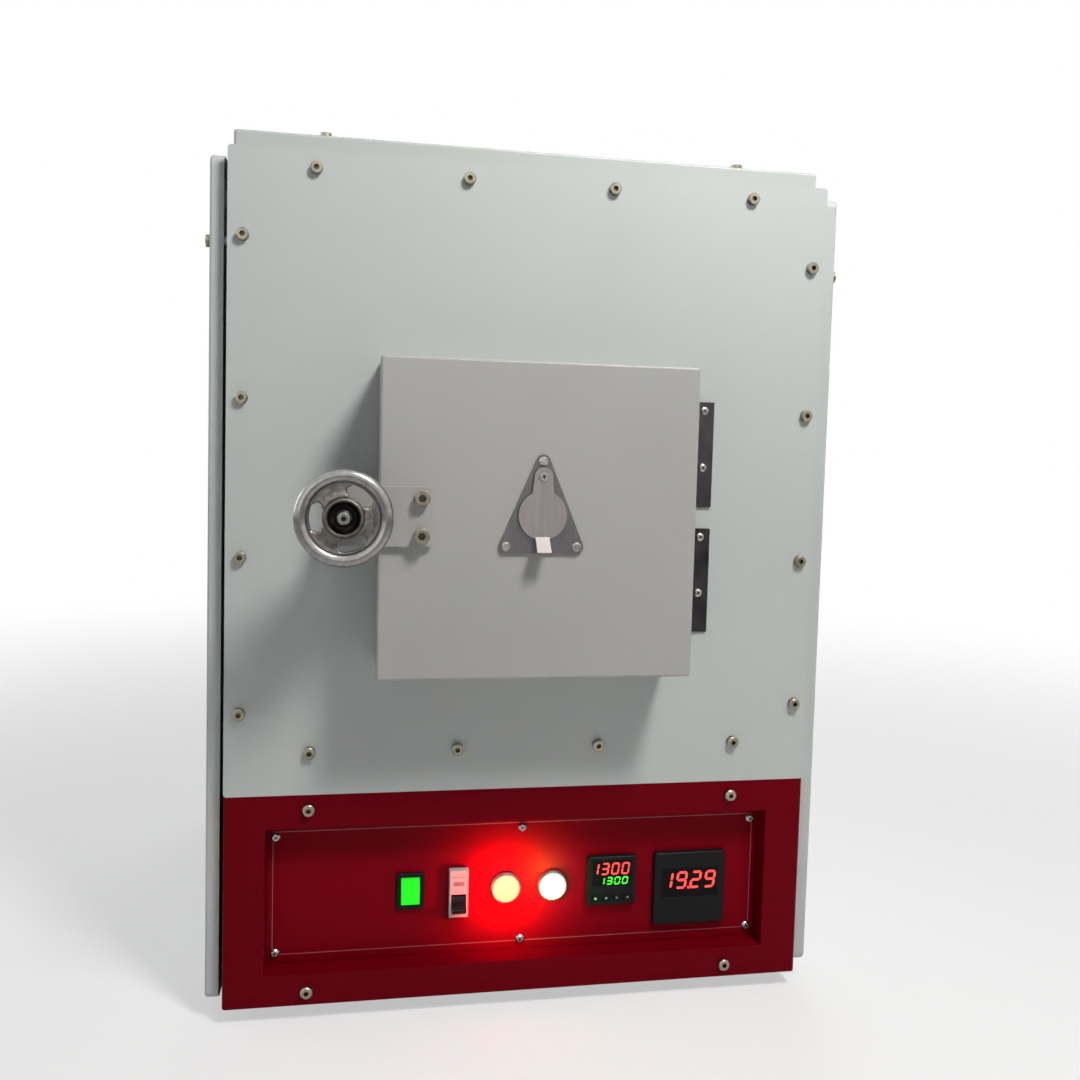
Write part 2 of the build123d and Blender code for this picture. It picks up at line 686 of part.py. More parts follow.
# Circuit breaker: a slim body whose nose comes through the plate, and its toggle
nose_w, nose_h = 18.0, 45.0
nose_stand = 7.0
breaker_h = 82.0
breaker_depth = 62.0
toggle_z = breaker_z - 8.0
toggle_w = 13.4
toggle_hub_r = 6.6
toggle_t = 4.6
toggle_reach = 15.5
toggle_rest = -24.0
toggle_slot_h = 15.6
toggle_axis_d = plate_front
toggle_pin_r = 1.5
breaker_back = plate_front + plate_t + seam
with BuildPart() as breaker_body:
    with BuildSketch(front(plate_front - nose_stand, breaker_x, foot_h + breaker_z)):
        Rectangle(nose_w, nose_h)
    extrude(amount=-(nose_stand + plate_t + 2))
    fillet(breaker_body.faces().sort_by(Axis.Y)[0].edges(), 0.8)
    with BuildSketch(front(breaker_back, breaker_x, foot_h + breaker_z)):
        Rectangle(nose_w, breaker_h)
    extrude(amount=-breaker_depth)
    with BuildSketch(front(plate_front - nose_stand, breaker_x, foot_h + toggle_z)):
        Rectangle(toggle_w + 2 * key_gap, toggle_slot_h)
    extrude(amount=-(nose_stand + toggle_hub_r + key_gap), mode=Mode.SUBTRACT)
    for side in (-1, 1):
        with BuildSketch(Plane.YZ.offset(breaker_x + side * (toggle_w / 2 + key_gap))):
            with Locations((y_panel + toggle_axis_d, foot_h + toggle_z)):
                Circle(toggle_pin_r)
        extrude(amount=-side * 2)
save(breaker_body, "breaker_body")

toggle_frame = tilted(breaker_x - toggle_w / 2, toggle_axis_d, foot_h + toggle_z, toggle_rest)
with BuildPart() as breaker_toggle:
    with BuildSketch(toggle_frame):
        Circle(toggle_hub_r)
        with Locations((toggle_reach / 2, 0)):
            RectangleRounded(toggle_reach, toggle_t, 1.2)
    extrude(amount=-toggle_w)
    for inset in (0, toggle_w - pin_hole):
        with BuildSketch(toggle_frame.offset(-inset)):
            Circle(toggle_pin_r + run_fit)
        extrude(amount=-pin_hole, mode=Mode.SUBTRACT)
save(breaker_toggle, "breaker_toggle")

# Pilot lamps: a round bezel with a threaded body and nut behind, and a domed lens
bezel_r = 14.75
bezel_h = 5.0
lens_r = 12.3
lens_fit = 0.2
lens_seat = 1.5
lens_rise = 8.5
lens_edge = bezel_h + 0.5
dome_r = (lens_r ** 2 + (lens_rise - lens_edge) ** 2) / (2 * (lens_rise - lens_edge))
dome_mid = lens_rise - dome_r + sqrt(dome_r ** 2 - lens_r ** 2 / 4)
lamp_depth = 42.0
lamp_nut_r = 14.0
lamp_nut = 6.0
with BuildPart() as lamp_bezels:
    for x in (red_lamp_x, green_lamp_x):
        with BuildSketch(radial(plate_front, x, foot_h + lamp_z)):
            with BuildLine():
                Polyline((0, lens_seat), (lens_r + lens_fit, lens_seat), (lens_r + lens_fit, bezel_h),
                         (bezel_r - 1.2, bezel_h), (bezel_r, bezel_h - 1.8), (bezel_r, 0),
                         (lamp_body_r, 0), (lamp_body_r, -plate_t), (lamp_nut_r, -plate_t),
                         (lamp_nut_r, -plate_t - lamp_nut), (lamp_body_r, -plate_t - lamp_nut),
                         (lamp_body_r, -lamp_depth), (0, -lamp_depth), close=True)
            make_face()
        revolve(axis=through(x, foot_h + lamp_z))
save(lamp_bezels, "lamp_bezels")

for x, name in ((red_lamp_x, "red_lens"), (green_lamp_x, "green_lens")):
    with BuildPart() as lens:
        with BuildSketch(radial(plate_front, x, foot_h + lamp_z)):
            with BuildLine():
                Polyline((0, lens_rise), (0, lens_seat), (lens_r, lens_seat), (lens_r, lens_edge))
                ThreePointArc((lens_r, lens_edge), (lens_r / 2, dome_mid), (0, lens_rise))
            make_face()
        revolve(axis=through(x, foot_h + lamp_z))
    save(lens, name)

# Temperature controller: a square case with a display pocket and four keys below it
controller_w = 48.0
controller_body = 45.0
controller_depth = 85.0
display_w, display_h = 38.0, 25.0
display_up = 8.0
display_deep = 1.8
display_t = 1.5
ctrl_key_w, ctrl_key_h, ctrl_key_t = 7.0, 4.6, 3.4
ctrl_key_pitch = 10.6
ctrl_key_down = 16.6
ctrl_key_proud = 0.9
ctrl_key_deep = 4.0
ctrl_key_x = [controller_x + ctrl_key_pitch * k for k in (-1.5, -0.5, 0.5, 1.5)]
with BuildPart() as controller_case:
    with BuildSketch(front(plate_front, controller_x, foot_h + controller_z)):
        RectangleRounded(controller_w, controller_w, 2.0)
    extrude(amount=device_stand)
    fillet(controller_case.faces().sort_by(Axis.Y)[0].edges(), 1.2)
    with BuildSketch(front(plate_front, controller_x, foot_h + controller_z)):
        Rectangle(controller_body, controller_body)
    extrude(amount=-controller_depth)
    with BuildSketch(front(device_front, controller_x, foot_h + controller_z)):
        with Locations((0, display_up)):
            Rectangle(display_w + 2 * cut_clear, display_h + 2 * cut_clear)
    extrude(amount=-display_deep, mode=Mode.SUBTRACT)
    with BuildSketch(front(device_front, controller_x, foot_h + controller_z - ctrl_key_down)):
        with GridLocations(ctrl_key_pitch, 1, 4, 1):
            Rectangle(ctrl_key_w + 2 * key_gap, ctrl_key_h + 2 * key_gap)
    extrude(amount=-ctrl_key_deep, mode=Mode.SUBTRACT)
save(controller_case, "controller_case")

for number, x in enumerate(ctrl_key_x, start=1):
    with BuildPart() as key:
        with BuildSketch(front(device_front - ctrl_key_proud, x, foot_h + controller_z - ctrl_key_down)):
            RectangleRounded(ctrl_key_w, ctrl_key_h, 1.2)
        extrude(amount=-ctrl_key_t)
        fillet(key.faces().sort_by(Axis.Y)[0].edges(), 0.5)
    save(key, f"controller_key_{number}")

# Panel meter: a larger square case with one wide display
meter_w = 72.0
meter_body = 66.0
meter_depth = 65.0
meter_display_w, meter_display_h = 56.0, 28.0
meter_display_up = 6.0
with BuildPart() as meter_case:
    with BuildSketch(front(plate_front, meter_x, foot_h + meter_z)):
        RectangleRounded(meter_w, meter_w, 2.5)
    extrude(amount=device_stand)
    fillet(meter_case.faces().sort_by(Axis.Y)[0].edges(), 1.5)
    with BuildSketch(front(plate_front, meter_x, foot_h + meter_z)):
        Rectangle(meter_body, meter_body)
    extrude(amount=-meter_depth)
    with BuildSketch(front(device_front, meter_x, foot_h + meter_z)):
        with Locations((0, meter_display_up)):
            Rectangle(meter_display_w + 2 * cut_clear, meter_display_h + 2 * cut_clear)
    extrude(amount=-display_deep, mode=Mode.SUBTRACT)
save(meter_case, "meter_case")

with BuildPart() as display_windows:
    with BuildSketch(front(device_front + display_deep, 0, foot_h)):
        with Locations((controller_x, controller_z + display_up)):
            Rectangle(display_w, display_h)
        with Locations((meter_x, meter_z + meter_display_up)):
            Rectangle(meter_display_w, meter_display_h)
    extrude(amount=display_t)
save(display_windows, "display_windows")

# Power side, on the chassis floor: terminal block, finned heat sink and relay
floor_z = chassis_z0 + sheet
block_x, block_d = -150.0, 420.0
block_w, block_t, block_h = 96.0, 30.0, 14.0
block_ways = 8
way_w, way_h = 2.4, 16.0
with BuildPart() as terminal_block:
    with BuildSketch(front(block_d, block_x, floor_z + block_h / 2)):
        Rectangle(block_w, block_h)
    extrude(amount=-block_t)
    with BuildSketch(front(block_d, block_x, floor_z + block_h)):
        with GridLocations((block_w - 3) / block_ways, 1, block_ways + 1, 1):
            Rectangle(way_w, way_h)
    extrude(amount=-block_t)
save(terminal_block, "terminal_block")

sink_x, sink_d = 120.0, 300.0
sink_w, sink_h, sink_len = 110.0, 44.0, 110.0
sink_base = 7.0
sink_fins = 11
fin_t = 2.4
relay_back = 25.0
with BuildPart() as heat_sink:
    with BuildSketch(front(sink_d, sink_x, floor_z + sink_h / 2)):
        Rectangle(sink_w, sink_h)
        with Locations((0, -sink_base)):
            with GridLocations(sink_w / sink_fins, 1, sink_fins - 1, 1):
                Rectangle(sink_w / sink_fins - fin_t, sink_h, mode=Mode.SUBTRACT)
    extrude(amount=-sink_len)
save(heat_sink, "heat_sink")

relay_w, relay_h, relay_len = 45.0, 26.0, 58.0
with BuildPart() as power_relay:
    with BuildSketch(front(sink_d + relay_back, sink_x, floor_z + sink_h + relay_h / 2)):
        Rectangle(relay_w, relay_h)
    extrude(amount=-relay_len)
    fillet(power_relay.faces().sort_by(Axis.Z)[-1].edges(), 2.0)
save(power_relay, "power_relay")

# Cable gland: threaded body through the rear cover, with a locknut inside
gland_flange = 7.0
gland_round = 3.0
gland_thread = 14.0
gland_nut = 5.0
gland_bore = 4.5
with BuildPart() as cable_gland:
    with BuildSketch(front(body_depth, gland_x, gland_z)):
        RegularPolygon(gland_r + 1, 6)
    extrude(amount=-gland_flange)
    with BuildSketch(front(body_depth + gland_flange, gland_x, gland_z)):
        Circle(gland_r - 1)
    extrude(amount=-(gland_stand - gland_flange))
    fillet(cable_gland.faces().sort_by(Axis.Y)[-1].edges(), gland_round)
    with BuildSketch(front(body_depth, gland_x, gland_z)):
        Circle(gland_r - 3 - cut_clear)
    extrude(amount=gland_thread)
    with BuildSketch(front(rear_inside, gland_x, gland_z)):
        RegularPolygon(gland_r + 1, 6)
    extrude(amount=gland_nut)
    with BuildSketch(front(body_depth + gland_stand, gland_x, gland_z)):
        Circle(gland_bore)
    extrude(amount=gland_stand + 2 * gland_thread, mode=Mode.SUBTRACT)
save(cable_gland, "cable_gland")

# Door shell: a deep folded box, open at the back
door_mid = front(-door_face, chamber_x, mid_z)
bracket_x1 = latch_x + bracket_w - bracket_tail
bracket_mid = bracket_x1 - bracket_w / 2
bolt_x = bracket_x1 - bolt_edge
peep_screws_at = ((chamber_x, foot_h + peep_z + peep_high),
                  (chamber_x - peep_base / 2, foot_h + peep_z - peep_low),
                  (chamber_x + peep_base / 2, foot_h + peep_z - peep_low))
pivot_z = foot_h + peep_z + shutter_drop
with BuildPart() as door_shell:
    with BuildSketch(door_mid):
        Rectangle(door_w, door_h)
    extrude(amount=-door_t)
    fillet(door_shell.faces().sort_by(Axis.Y)[0].edges() + door_shell.edges().filter_by(Axis.Y), bend_r)
    offset(amount=-sheet, openings=door_shell.faces().sort_by(Axis.Y)[-1])
    with BuildSketch(front(-door_face)):
        with Locations((chamber_x, foot_h + peep_z)):
            Circle(peep_r + peep_fit)
        with Locations((bolt_x, foot_h + latch_z)):
            with GridLocations(1, bolt_pitch, 1, 2):
                Circle(bolt_r + screw_clear)
        with Locations(*peep_screws_at, (chamber_x, pivot_z)):
            Circle(small_r + screw_clear)
    extrude(amount=-2 * sheet, mode=Mode.SUBTRACT)
save(door_shell, "door_shell")

# Door pan: the frame that closes the back of the shell round the plug
pan_w = door_w - 2 * (sheet + door_fit)
pan_h = door_h - 2 * (sheet + door_fit)
plug_w = opening_w - 2 * (plug_margin + throat_margin)
plug_h = opening_h - 2 * (plug_margin + throat_margin)
pan_hole = 2 * door_fit + 1.0
with BuildPart() as door_pan:
    with BuildSketch(front(-door_gap, chamber_x, mid_z)):
        Rectangle(pan_w, pan_h)
        Rectangle(plug_w + pan_hole, plug_h + pan_hole, mode=Mode.SUBTRACT)
    extrude(amount=sheet)
    with BuildSketch(front(-door_gap, chamber_x, mid_z)):
        Rectangle(pan_w, pan_h)
        Rectangle(pan_w - 2 * sheet, pan_h - 2 * sheet, mode=Mode.SUBTRACT)
    extrude(amount=pan_lip)
save(door_pan, "door_pan")

# Door plug: ceramic fibre block in the shell with a tapered nose in the throat
plug_back = -(door_gap + sheet + door_fit)
block_front = -(door_face - sheet - door_air)
with BuildPart() as door_plug:
    with BuildSketch(front(plug_back, chamber_x, mid_z)):
        Rectangle(pan_w - 2 * (sheet + door_fit), pan_h - 2 * (sheet + door_fit))
    extrude(amount=plug_back - block_front)
    with BuildSketch(front(plug_back, chamber_x, mid_z)):
        Rectangle(plug_w, plug_h)
    with BuildSketch(front(plug_depth, chamber_x, mid_z)):
        Rectangle(plug_w - 2 * plug_taper, plug_h - 2 * plug_taper)
    loft()
    with BuildSketch(front(block_front, chamber_x, foot_h + peep_z)):
        Circle(peep_r + peep_fit)
    extrude(amount=block_front - plug_depth, mode=Mode.SUBTRACT)
save(door_plug, "door_plug")

# Sight tube: a quartz tube through the door, closed at its hot end
with BuildPart() as sight_tube:
    with BuildSketch(front(-door_face, chamber_x, foot_h + peep_z)):
        Circle(peep_r)
    extrude(amount=-(door_face + plug_depth))
    with BuildSketch(front(-door_face, chamber_x, foot_h + peep_z)):
        Circle(peep_r - peep_wall)
    extrude(amount=-(door_face + plug_depth - peep_wall), mode=Mode.SUBTRACT)
save(sight_tube, "sight_tube")

# Sight plate: a rounded triangle on the door's face, with the hole and its screws
with BuildPart() as peep_plate:
    with BuildSketch(front(-door_face)):
        with Locations(*peep_screws_at):
            Circle(peep_corner)
        make_hull()
    extrude(amount=peep_plate_t)
    with BuildSketch(front(-door_face - peep_plate_t)):
        with Locations((chamber_x, foot_h + peep_z)):
            Circle(peep_r)
        with Locations(*peep_screws_at, (chamber_x, pivot_z)):
            Circle(small_r + run_fit)
    extrude(amount=-peep_plate_t, mode=Mode.SUBTRACT)
save(peep_plate, "peep_plate")

# Shutter: a pear-shaped flap on a pivot above the sight hole, with a bent-out tab
shutter_back = -(door_face + peep_plate_t + shutter_stand)
tab_top = foot_h + peep_z - shutter_r + 2.5
tab_out = 0.72 * tab_len
tab_down = 0.69 * tab_len
with BuildPart() as peep_shutter:
    with BuildSketch(front(shutter_back)):
        with Locations((chamber_x, pivot_z)):
            Circle(shutter_neck)
        with Locations((chamber_x, foot_h + peep_z)):
            Circle(shutter_r)
        with BuildLine():
            Polyline((chamber_x - shutter_neck, pivot_z - 2), (chamber_x + shutter_neck, pivot_z - 2),
                     (chamber_x + shutter_neck + 2, foot_h + peep_z + shutter_r - 6),
                     (chamber_x + shutter_r - 5, foot_h + peep_z + shutter_r - 7),
                     (chamber_x - shutter_r + 5, foot_h + peep_z + shutter_r - 7),
                     (chamber_x - shutter_neck - 2, foot_h + peep_z + shutter_r - 6), close=True)
        make_face()
    extrude(amount=shutter_t)
    with BuildSketch(front(shutter_back)):
        with Locations((chamber_x, pivot_z)):
            Circle(pivot_r + pivot_fit)
    extrude(amount=shutter_t, mode=Mode.SUBTRACT)
    with BuildSketch(Plane.YZ.offset(chamber_x - tab_w / 2)):
        with BuildLine():
            y_tab = y_panel + shutter_back
            Polyline((y_tab, tab_top), (y_tab - shutter_t, tab_top),
                     (y_tab - shutter_t - tab_out, tab_top - tab_down),
                     (y_tab - tab_out, tab_top - tab_down - shutter_t), (y_tab, tab_top - 2),
                     close=True)
        make_face()
    extrude(amount=tab_w)
save(peep_shutter, "peep_shutter")

# Sight-plate screws and the shutter's shouldered pivot
with BuildPart() as peep_screws:
    with BuildSketch(front(-door_face - peep_plate_t)):
        with Locations(*peep_screws_at):
            Circle(small_head_r)
    extrude(amount=small_head_h)
    chamfer(peep_screws.faces().group_by(Axis.Y)[0].edges(), small_bevel)
    with BuildSketch(front(-door_face - peep_plate_t)):
        with Locations(*peep_screws_at, (chamber_x, pivot_z)):
            Circle(small_r)
    extrude(amount=-small_len)
    with BuildSketch(front(-door_face - peep_plate_t)):
        with Locations((chamber_x, pivot_z)):
            Circle(pivot_r + 1.5)
    extrude(amount=shutter_stand - turn_gap)
    with BuildSketch(front(-door_face - peep_plate_t)):
        with Locations((chamber_x, pivot_z)):
            Circle(pivot_r)
    extrude(amount=shutter_stand + shutter_t + turn_gap)
    with BuildSketch(front(shutter_back - shutter_t - turn_gap)):
        with Locations((chamber_x, pivot_z)):
            Circle(pivot_r + 1.8)
    extrude(amount=1.2)
save(peep_screws, "peep_screws")

# Hinges: two butt hinges of five knuckles, each on a loose-fitting pin
hinge_z = [mid_z - hinge_pitch / 2, mid_z + hinge_pitch / 2]
knuckles = 5
knuckle_h = (hinge_h - (knuckles - 1) * knuckle_gap) / knuckles
leaf_start = knuckle_r + knuckle_gap


def knuckle_low(centre, number):
    """The bottom of one knuckle of the hinge at that height."""
    return centre - hinge_h / 2 + number * (knuckle_h + knuckle_gap)


with BuildPart() as hinge_panel_leaves:
    for z in hinge_z:
        with BuildSketch(front(0, axis_x, z)):
            with Locations(((leaf_start + hinge_reach) / 2, 0)):
                RectangleRounded(hinge_reach - leaf_start, hinge_h, 1.0)
        extrude(amount=leaf_t)
        for number in range(0, knuckles, 2):
            with BuildSketch(Plane((axis_x, y_panel + axis_d, knuckle_low(z, number)))):
                Circle(knuckle_r)
                with Locations((leaf_start / 2 + 0.5, -axis_d - leaf_t / 2)):
                    Rectangle(leaf_start + 1, leaf_t)
                Circle(hinge_pin_r + run_fit, mode=Mode.SUBTRACT)
            extrude(amount=knuckle_h)
        with BuildSketch(front(0, axis_x, z)):
            with Locations(*zip(hinge_screw_x, hinge_screw_z)):
                Circle(hinge_screw_r)
        extrude(amount=leaf_t, mode=Mode.SUBTRACT)
save(hinge_panel_leaves, "hinge_panel_leaves")

door_side = Plane((door_right, y_panel + axis_d, 0), x_dir=(0, -1, 0), z_dir=(1, 0, 0))
with BuildPart() as hinge_door_leaves:
    for z in hinge_z:
        with BuildSketch(door_side):
            with Locations(((leaf_start + hinge_reach) / 2, -z)):
                RectangleRounded(hinge_reach - leaf_start, hinge_h, 1.0)
        extrude(amount=leaf_t)
        for number in range(1, knuckles, 2):
            with BuildSketch(Plane((axis_x, y_panel + axis_d, knuckle_low(z, number)))):
                Circle(knuckle_r)
                with Locations((door_right - axis_x + leaf_t / 2, -leaf_start / 2 - 0.5)):
                    Rectangle(leaf_t, leaf_start + 1)
                Circle(hinge_pin_r + run_fit, mode=Mode.SUBTRACT)
            extrude(amount=knuckle_h)
        with BuildSketch(door_side):
            with Locations(*[(x, -z - up) for x, up in zip(hinge_screw_x, hinge_screw_z)]):
                Circle(hinge_screw_r)
        extrude(amount=leaf_t, mode=Mode.SUBTRACT)
save(hinge_door_leaves, "hinge_door_leaves")

pin_head = 1.5
with BuildPart() as hinge_pins:
    for z in hinge_z:
        with BuildSketch(Plane((axis_x, y_panel + axis_d, z - hinge_h / 2))):
            Circle(hinge_pin_r)
        extrude(amount=hinge_h)
        with BuildSketch(Plane((axis_x, y_panel + axis_d, z + hinge_h / 2))):
            Circle(knuckle_r - 0.3)
        extrude(amount=pin_head)
    fillet(hinge_pins.edges().filter_by(GeomType.CIRCLE).group_by(Axis.Z)[-1], 0.8)
save(hinge_pins, "hinge_pins")

# Latch bracket: a plate bolted on the door's face, reaching past the door's edge
with BuildPart() as latch_bracket:
    with BuildSketch(front(-door_face, bracket_mid, foot_h + latch_z)):
        RectangleRounded(bracket_w, bracket_h, 2.5)
        with Locations((bolt_x - bracket_mid, 0)):
            with GridLocations(1, bolt_pitch, 1, 2):
                Circle(bolt_r + screw_clear, mode=Mode.SUBTRACT)
        with Locations((latch_x - bracket_mid, 0)):
            Circle(rod_r + run_fit, mode=Mode.SUBTRACT)
    extrude(amount=bracket_t)
save(latch_bracket, "latch_bracket")

with BuildPart() as bracket_bolts:
    with BuildSketch(front(-door_face - bracket_t, bolt_x, foot_h + latch_z)):
        with GridLocations(1, bolt_pitch, 1, 2):
            Circle(bolt_head_r)
    extrude(amount=bolt_head_h)
    chamfer(bracket_bolts.faces().group_by(Axis.Y)[0].edges(), head_bevel)
    with BuildSketch(front(-door_face - bracket_t - bolt_head_h, bolt_x, foot_h + latch_z)):
        with GridLocations(1, bolt_pitch, 1, 2):
            RegularPolygon(bolt_hex, 6)
    extrude(amount=-bolt_head_h * socket_deep, mode=Mode.SUBTRACT)
    with BuildSketch(front(-door_face - bracket_t, bolt_x, foot_h + latch_z)):
        with GridLocations(1, bolt_pitch, 1, 2):
            Circle(bolt_r)
    extrude(amount=-(bracket_t + sheet + door_air - 2))
    with BuildSketch(front(-door_face + sheet, bolt_x, foot_h + latch_z)):
        with GridLocations(1, bolt_pitch, 1, 2):
            RegularPolygon(bolt_head_r, 6)
    extrude(amount=-(door_air - 4))
save(bracket_bolts, "bracket_bolts")

# Latch rod, thrust washer and handwheel, drawn backed off, clear of the boss
with BuildPart() as latch_rod:
    with BuildSketch(radial(0, latch_x, foot_h + latch_z)):
        with BuildLine():
            Polyline((0, rod_tip), (rod_r - 1.8, rod_tip), (rod_r, rod_tip + 1.8),
                     (rod_r, hub_back + hub_len), (rod_r - 1, hub_back + hub_len + 1),
                     (rod_r - 1, hub_back + rod_stand - 1),
                     (rod_r - 2, hub_back + rod_stand), (2, hub_back + rod_stand),
                     (2, hub_back + rod_stand - 5), (0, hub_back + rod_stand - 5), close=True)
        make_face()
    revolve(axis=through(latch_x, foot_h + latch_z))
save(latch_rod, "latch_rod")

with BuildPart() as thrust_washer:
    with BuildSketch(front(turn_gap - hub_back, latch_x, foot_h + latch_z)):
        Circle(washer_r)
        Circle(rod_r + run_fit, mode=Mode.SUBTRACT)
    extrude(amount=-washer_t)
save(thrust_washer, "thrust_washer")

rim_mid_r = wheel_r - rim_r
window_r = (hub_r + 2 + rim_mid_r - rim_r) / 2 + 1.5
window_t = rim_mid_r - rim_r - hub_r - 1.5
window_turn = 55.0
window_sweep = 68.0
with BuildPart() as handwheel:
    with BuildSketch(radial(-hub_back, latch_x, foot_h + latch_z)):
        with BuildLine():
            Polyline((rod_r, 0), (hub_r - 2, 0), (hub_r, 2), (rim_mid_r - 2, rim_lift - web_t),
                     (rim_mid_r - 2, rim_lift), (hub_r + 1.5, hub_len + 1), (hub_r, hub_len + cup_len),
                     (hub_r - 2, hub_len + cup_len), (hub_r - 3.5, hub_len), (rod_r, hub_len), close=True)
        make_face()
        with Locations((rim_mid_r, rim_lift)):
            Circle(rim_r)
    revolve(axis=through(latch_x, foot_h + latch_z))
    with BuildSketch(front(-hub_back, latch_x, foot_h + latch_z)):
        with PolarLocations(0, 3, start_angle=window_turn):
            with BuildLine(mode=Mode.PRIVATE):
                sweep_line = CenterArc((0, 0), window_r, -window_sweep / 2, window_sweep)
            SlotArc(sweep_line, window_t)
    extrude(amount=rim_lift + rim_r, mode=Mode.SUBTRACT)
save(handwheel, "handwheel")

# Fasteners: socket-head screws of the front, and the screws of the plate and the covers
panel_spots = [(x, z) for x in [panel_screw_x * k for k in (-1.5, -0.5, 0.5, 1.5)]
               for z in (row_low, row_high)]
side_spots = [(side * (panel_w / 2 - side_screw_edge), seam_z + side_screw_mid + side_screw_pitch * k)
              for side in (-1, 1) for k in (-1.5, -0.5, 0.5, 1.5)]
fascia_spots = [(side * fascia_screw_x / 2, fascia_mid + up * fascia_screw_z / 2)
                for side in (-1, 1) for up in (-1, 1)]
front_spots = panel_spots + side_spots + fascia_spots
with BuildPart() as front_screws:
    with BuildSketch(front(0)):
        with Locations(*front_spots):
            Circle(screw_head_r)
    extrude(amount=screw_head_h)
    chamfer(front_screws.faces().group_by(Axis.Y)[0].edges(), head_bevel)
    with BuildSketch(front(-screw_head_h)):
        with Locations(*front_spots):
            RegularPolygon(screw_hex, 6)
    extrude(amount=-screw_head_h * socket_deep, mode=Mode.SUBTRACT)
    with BuildSketch(front(0)):
        with Locations(*front_spots):
            Circle(screw_r)
    extrude(amount=-screw_len)
save(front_screws, "front_screws")

with BuildPart() as plate_screws:
    with BuildSketch(front(plate_front, 0, foot_h + plate_screw_mid)):
        with GridLocations(plate_screw_x, plate_screw_z, 3, 2):
            Circle(small_head_r)
    extrude(amount=small_head_h)
    chamfer(plate_screws.faces().group_by(Axis.Y)[0].edges(), small_bevel)
    with BuildSketch(front(plate_front, 0, foot_h + plate_screw_mid)):
        with GridLocations(plate_screw_x, plate_screw_z, 3, 2):
            Circle(small_r)
    extrude(amount=-small_len)
save(plate_screws, "plate_screws")

cover_head_h = 4.0
with BuildPart() as cover_screws:
    for side in (-1, 1):
        for radius, start, length in ((screw_head_r, cover_x, cover_head_h), (screw_r, cover_x, -sheet)):
            with BuildSketch(Plane.YZ.offset(side * start)):
                with Locations(*[(y_panel + d, side_post_z) for d in side_post_d]):
                    Circle(radius)
            extrude(amount=side * length)
    for radius, length in ((screw_head_r, cover_head_h), (screw_r, -sheet)):
        with BuildSketch(Plane.XY.offset(top_cover_top)):
            with Locations(*[(x, y_panel + d) for x in (-top_post_x, top_post_x) for d in top_post_d]):
                Circle(radius)
        extrude(amount=length)
        with BuildSketch(front(body_depth)):
            with Locations(*[(x, z) for x in (-rear_post_x, rear_post_x) for z in rear_post_z]):
                Circle(radius)
        extrude(amount=-length)
save(cover_screws, "cover_screws")
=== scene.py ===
"""Looks of the muffle furnace: camera, light, finishes and the small pieces on the frame."""
import json
from math import cos, pi, radians, sin, tan

import bmesh
import bpy
from mathutils import Matrix, Vector


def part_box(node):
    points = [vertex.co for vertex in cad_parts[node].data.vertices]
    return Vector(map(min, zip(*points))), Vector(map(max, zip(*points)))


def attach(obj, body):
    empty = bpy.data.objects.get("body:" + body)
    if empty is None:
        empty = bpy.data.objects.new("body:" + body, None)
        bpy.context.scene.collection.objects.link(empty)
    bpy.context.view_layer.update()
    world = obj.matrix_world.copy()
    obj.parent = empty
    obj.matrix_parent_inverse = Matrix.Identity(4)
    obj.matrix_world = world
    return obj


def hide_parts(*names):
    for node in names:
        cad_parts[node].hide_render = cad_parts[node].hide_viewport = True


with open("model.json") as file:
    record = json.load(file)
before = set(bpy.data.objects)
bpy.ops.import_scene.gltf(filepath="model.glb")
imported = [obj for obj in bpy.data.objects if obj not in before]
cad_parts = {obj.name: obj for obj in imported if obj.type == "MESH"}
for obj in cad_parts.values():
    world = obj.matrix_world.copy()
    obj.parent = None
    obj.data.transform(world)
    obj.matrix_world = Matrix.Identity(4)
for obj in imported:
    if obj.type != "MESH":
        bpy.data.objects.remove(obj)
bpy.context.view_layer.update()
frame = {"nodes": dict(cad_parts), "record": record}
nodes = frame["nodes"]

# Reference planes of the frame, in metres: the panel's front and the fascia's lower edge
y_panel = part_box("front_panel")[0].y
z_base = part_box("fascia")[0].z


# Camera, solved from the photograph: its place from the panel's front and the fascia's lower edge in
# metres, three turns in degrees, and the lens in pixels of the photograph
CAMERA_PLACE = (-0.1502, -0.8715, 0.5129)
CAMERA_YAW = 9.731
CAMERA_PITCH = 3.454
CAMERA_ROLL = 1.520
CAMERA_FOCAL = 970.54
PHOTO_SIZE = 1080
PHOTO_CENTRE = (533.92, 503.82)
SENSOR = 36
CLIP_NEAR = 0.02


def make_camera():
    """The camera of the photograph."""
    yaw, pitch, roll = (radians(a) for a in (CAMERA_YAW, CAMERA_PITCH, CAMERA_ROLL))
    ahead = Vector((sin(yaw) * cos(pitch), cos(yaw) * cos(pitch), -sin(pitch)))
    level = Vector((cos(yaw), -sin(yaw), 0))
    upright = level.cross(ahead)
    right = level * cos(roll) + upright * sin(roll)
    up = upright * cos(roll) - level * sin(roll)
    data = bpy.data.cameras.new("camera")
    data.sensor_width = SENSOR
    data.sensor_fit = "HORIZONTAL"
    data.lens = CAMERA_FOCAL / PHOTO_SIZE * SENSOR
    data.shift_x = (PHOTO_SIZE / 2 - PHOTO_CENTRE[0]) / PHOTO_SIZE
    data.shift_y = (PHOTO_CENTRE[1] - PHOTO_SIZE / 2) / PHOTO_SIZE
    data.clip_start = CLIP_NEAR
    camera = bpy.data.objects.new("camera", data)
    turn = Matrix((right, up, -ahead)).transposed().to_4x4()
    x, y, z = CAMERA_PLACE
    camera.matrix_world = Matrix.Translation((x, y_panel + y, z_base + z)) @ turn
    bpy.context.collection.objects.link(camera)
    bpy.context.scene.camera = camera


make_camera()


# Node helpers for the materials
MOTTLE_FROM, MOTTLE_TO = 0.3, 0.7


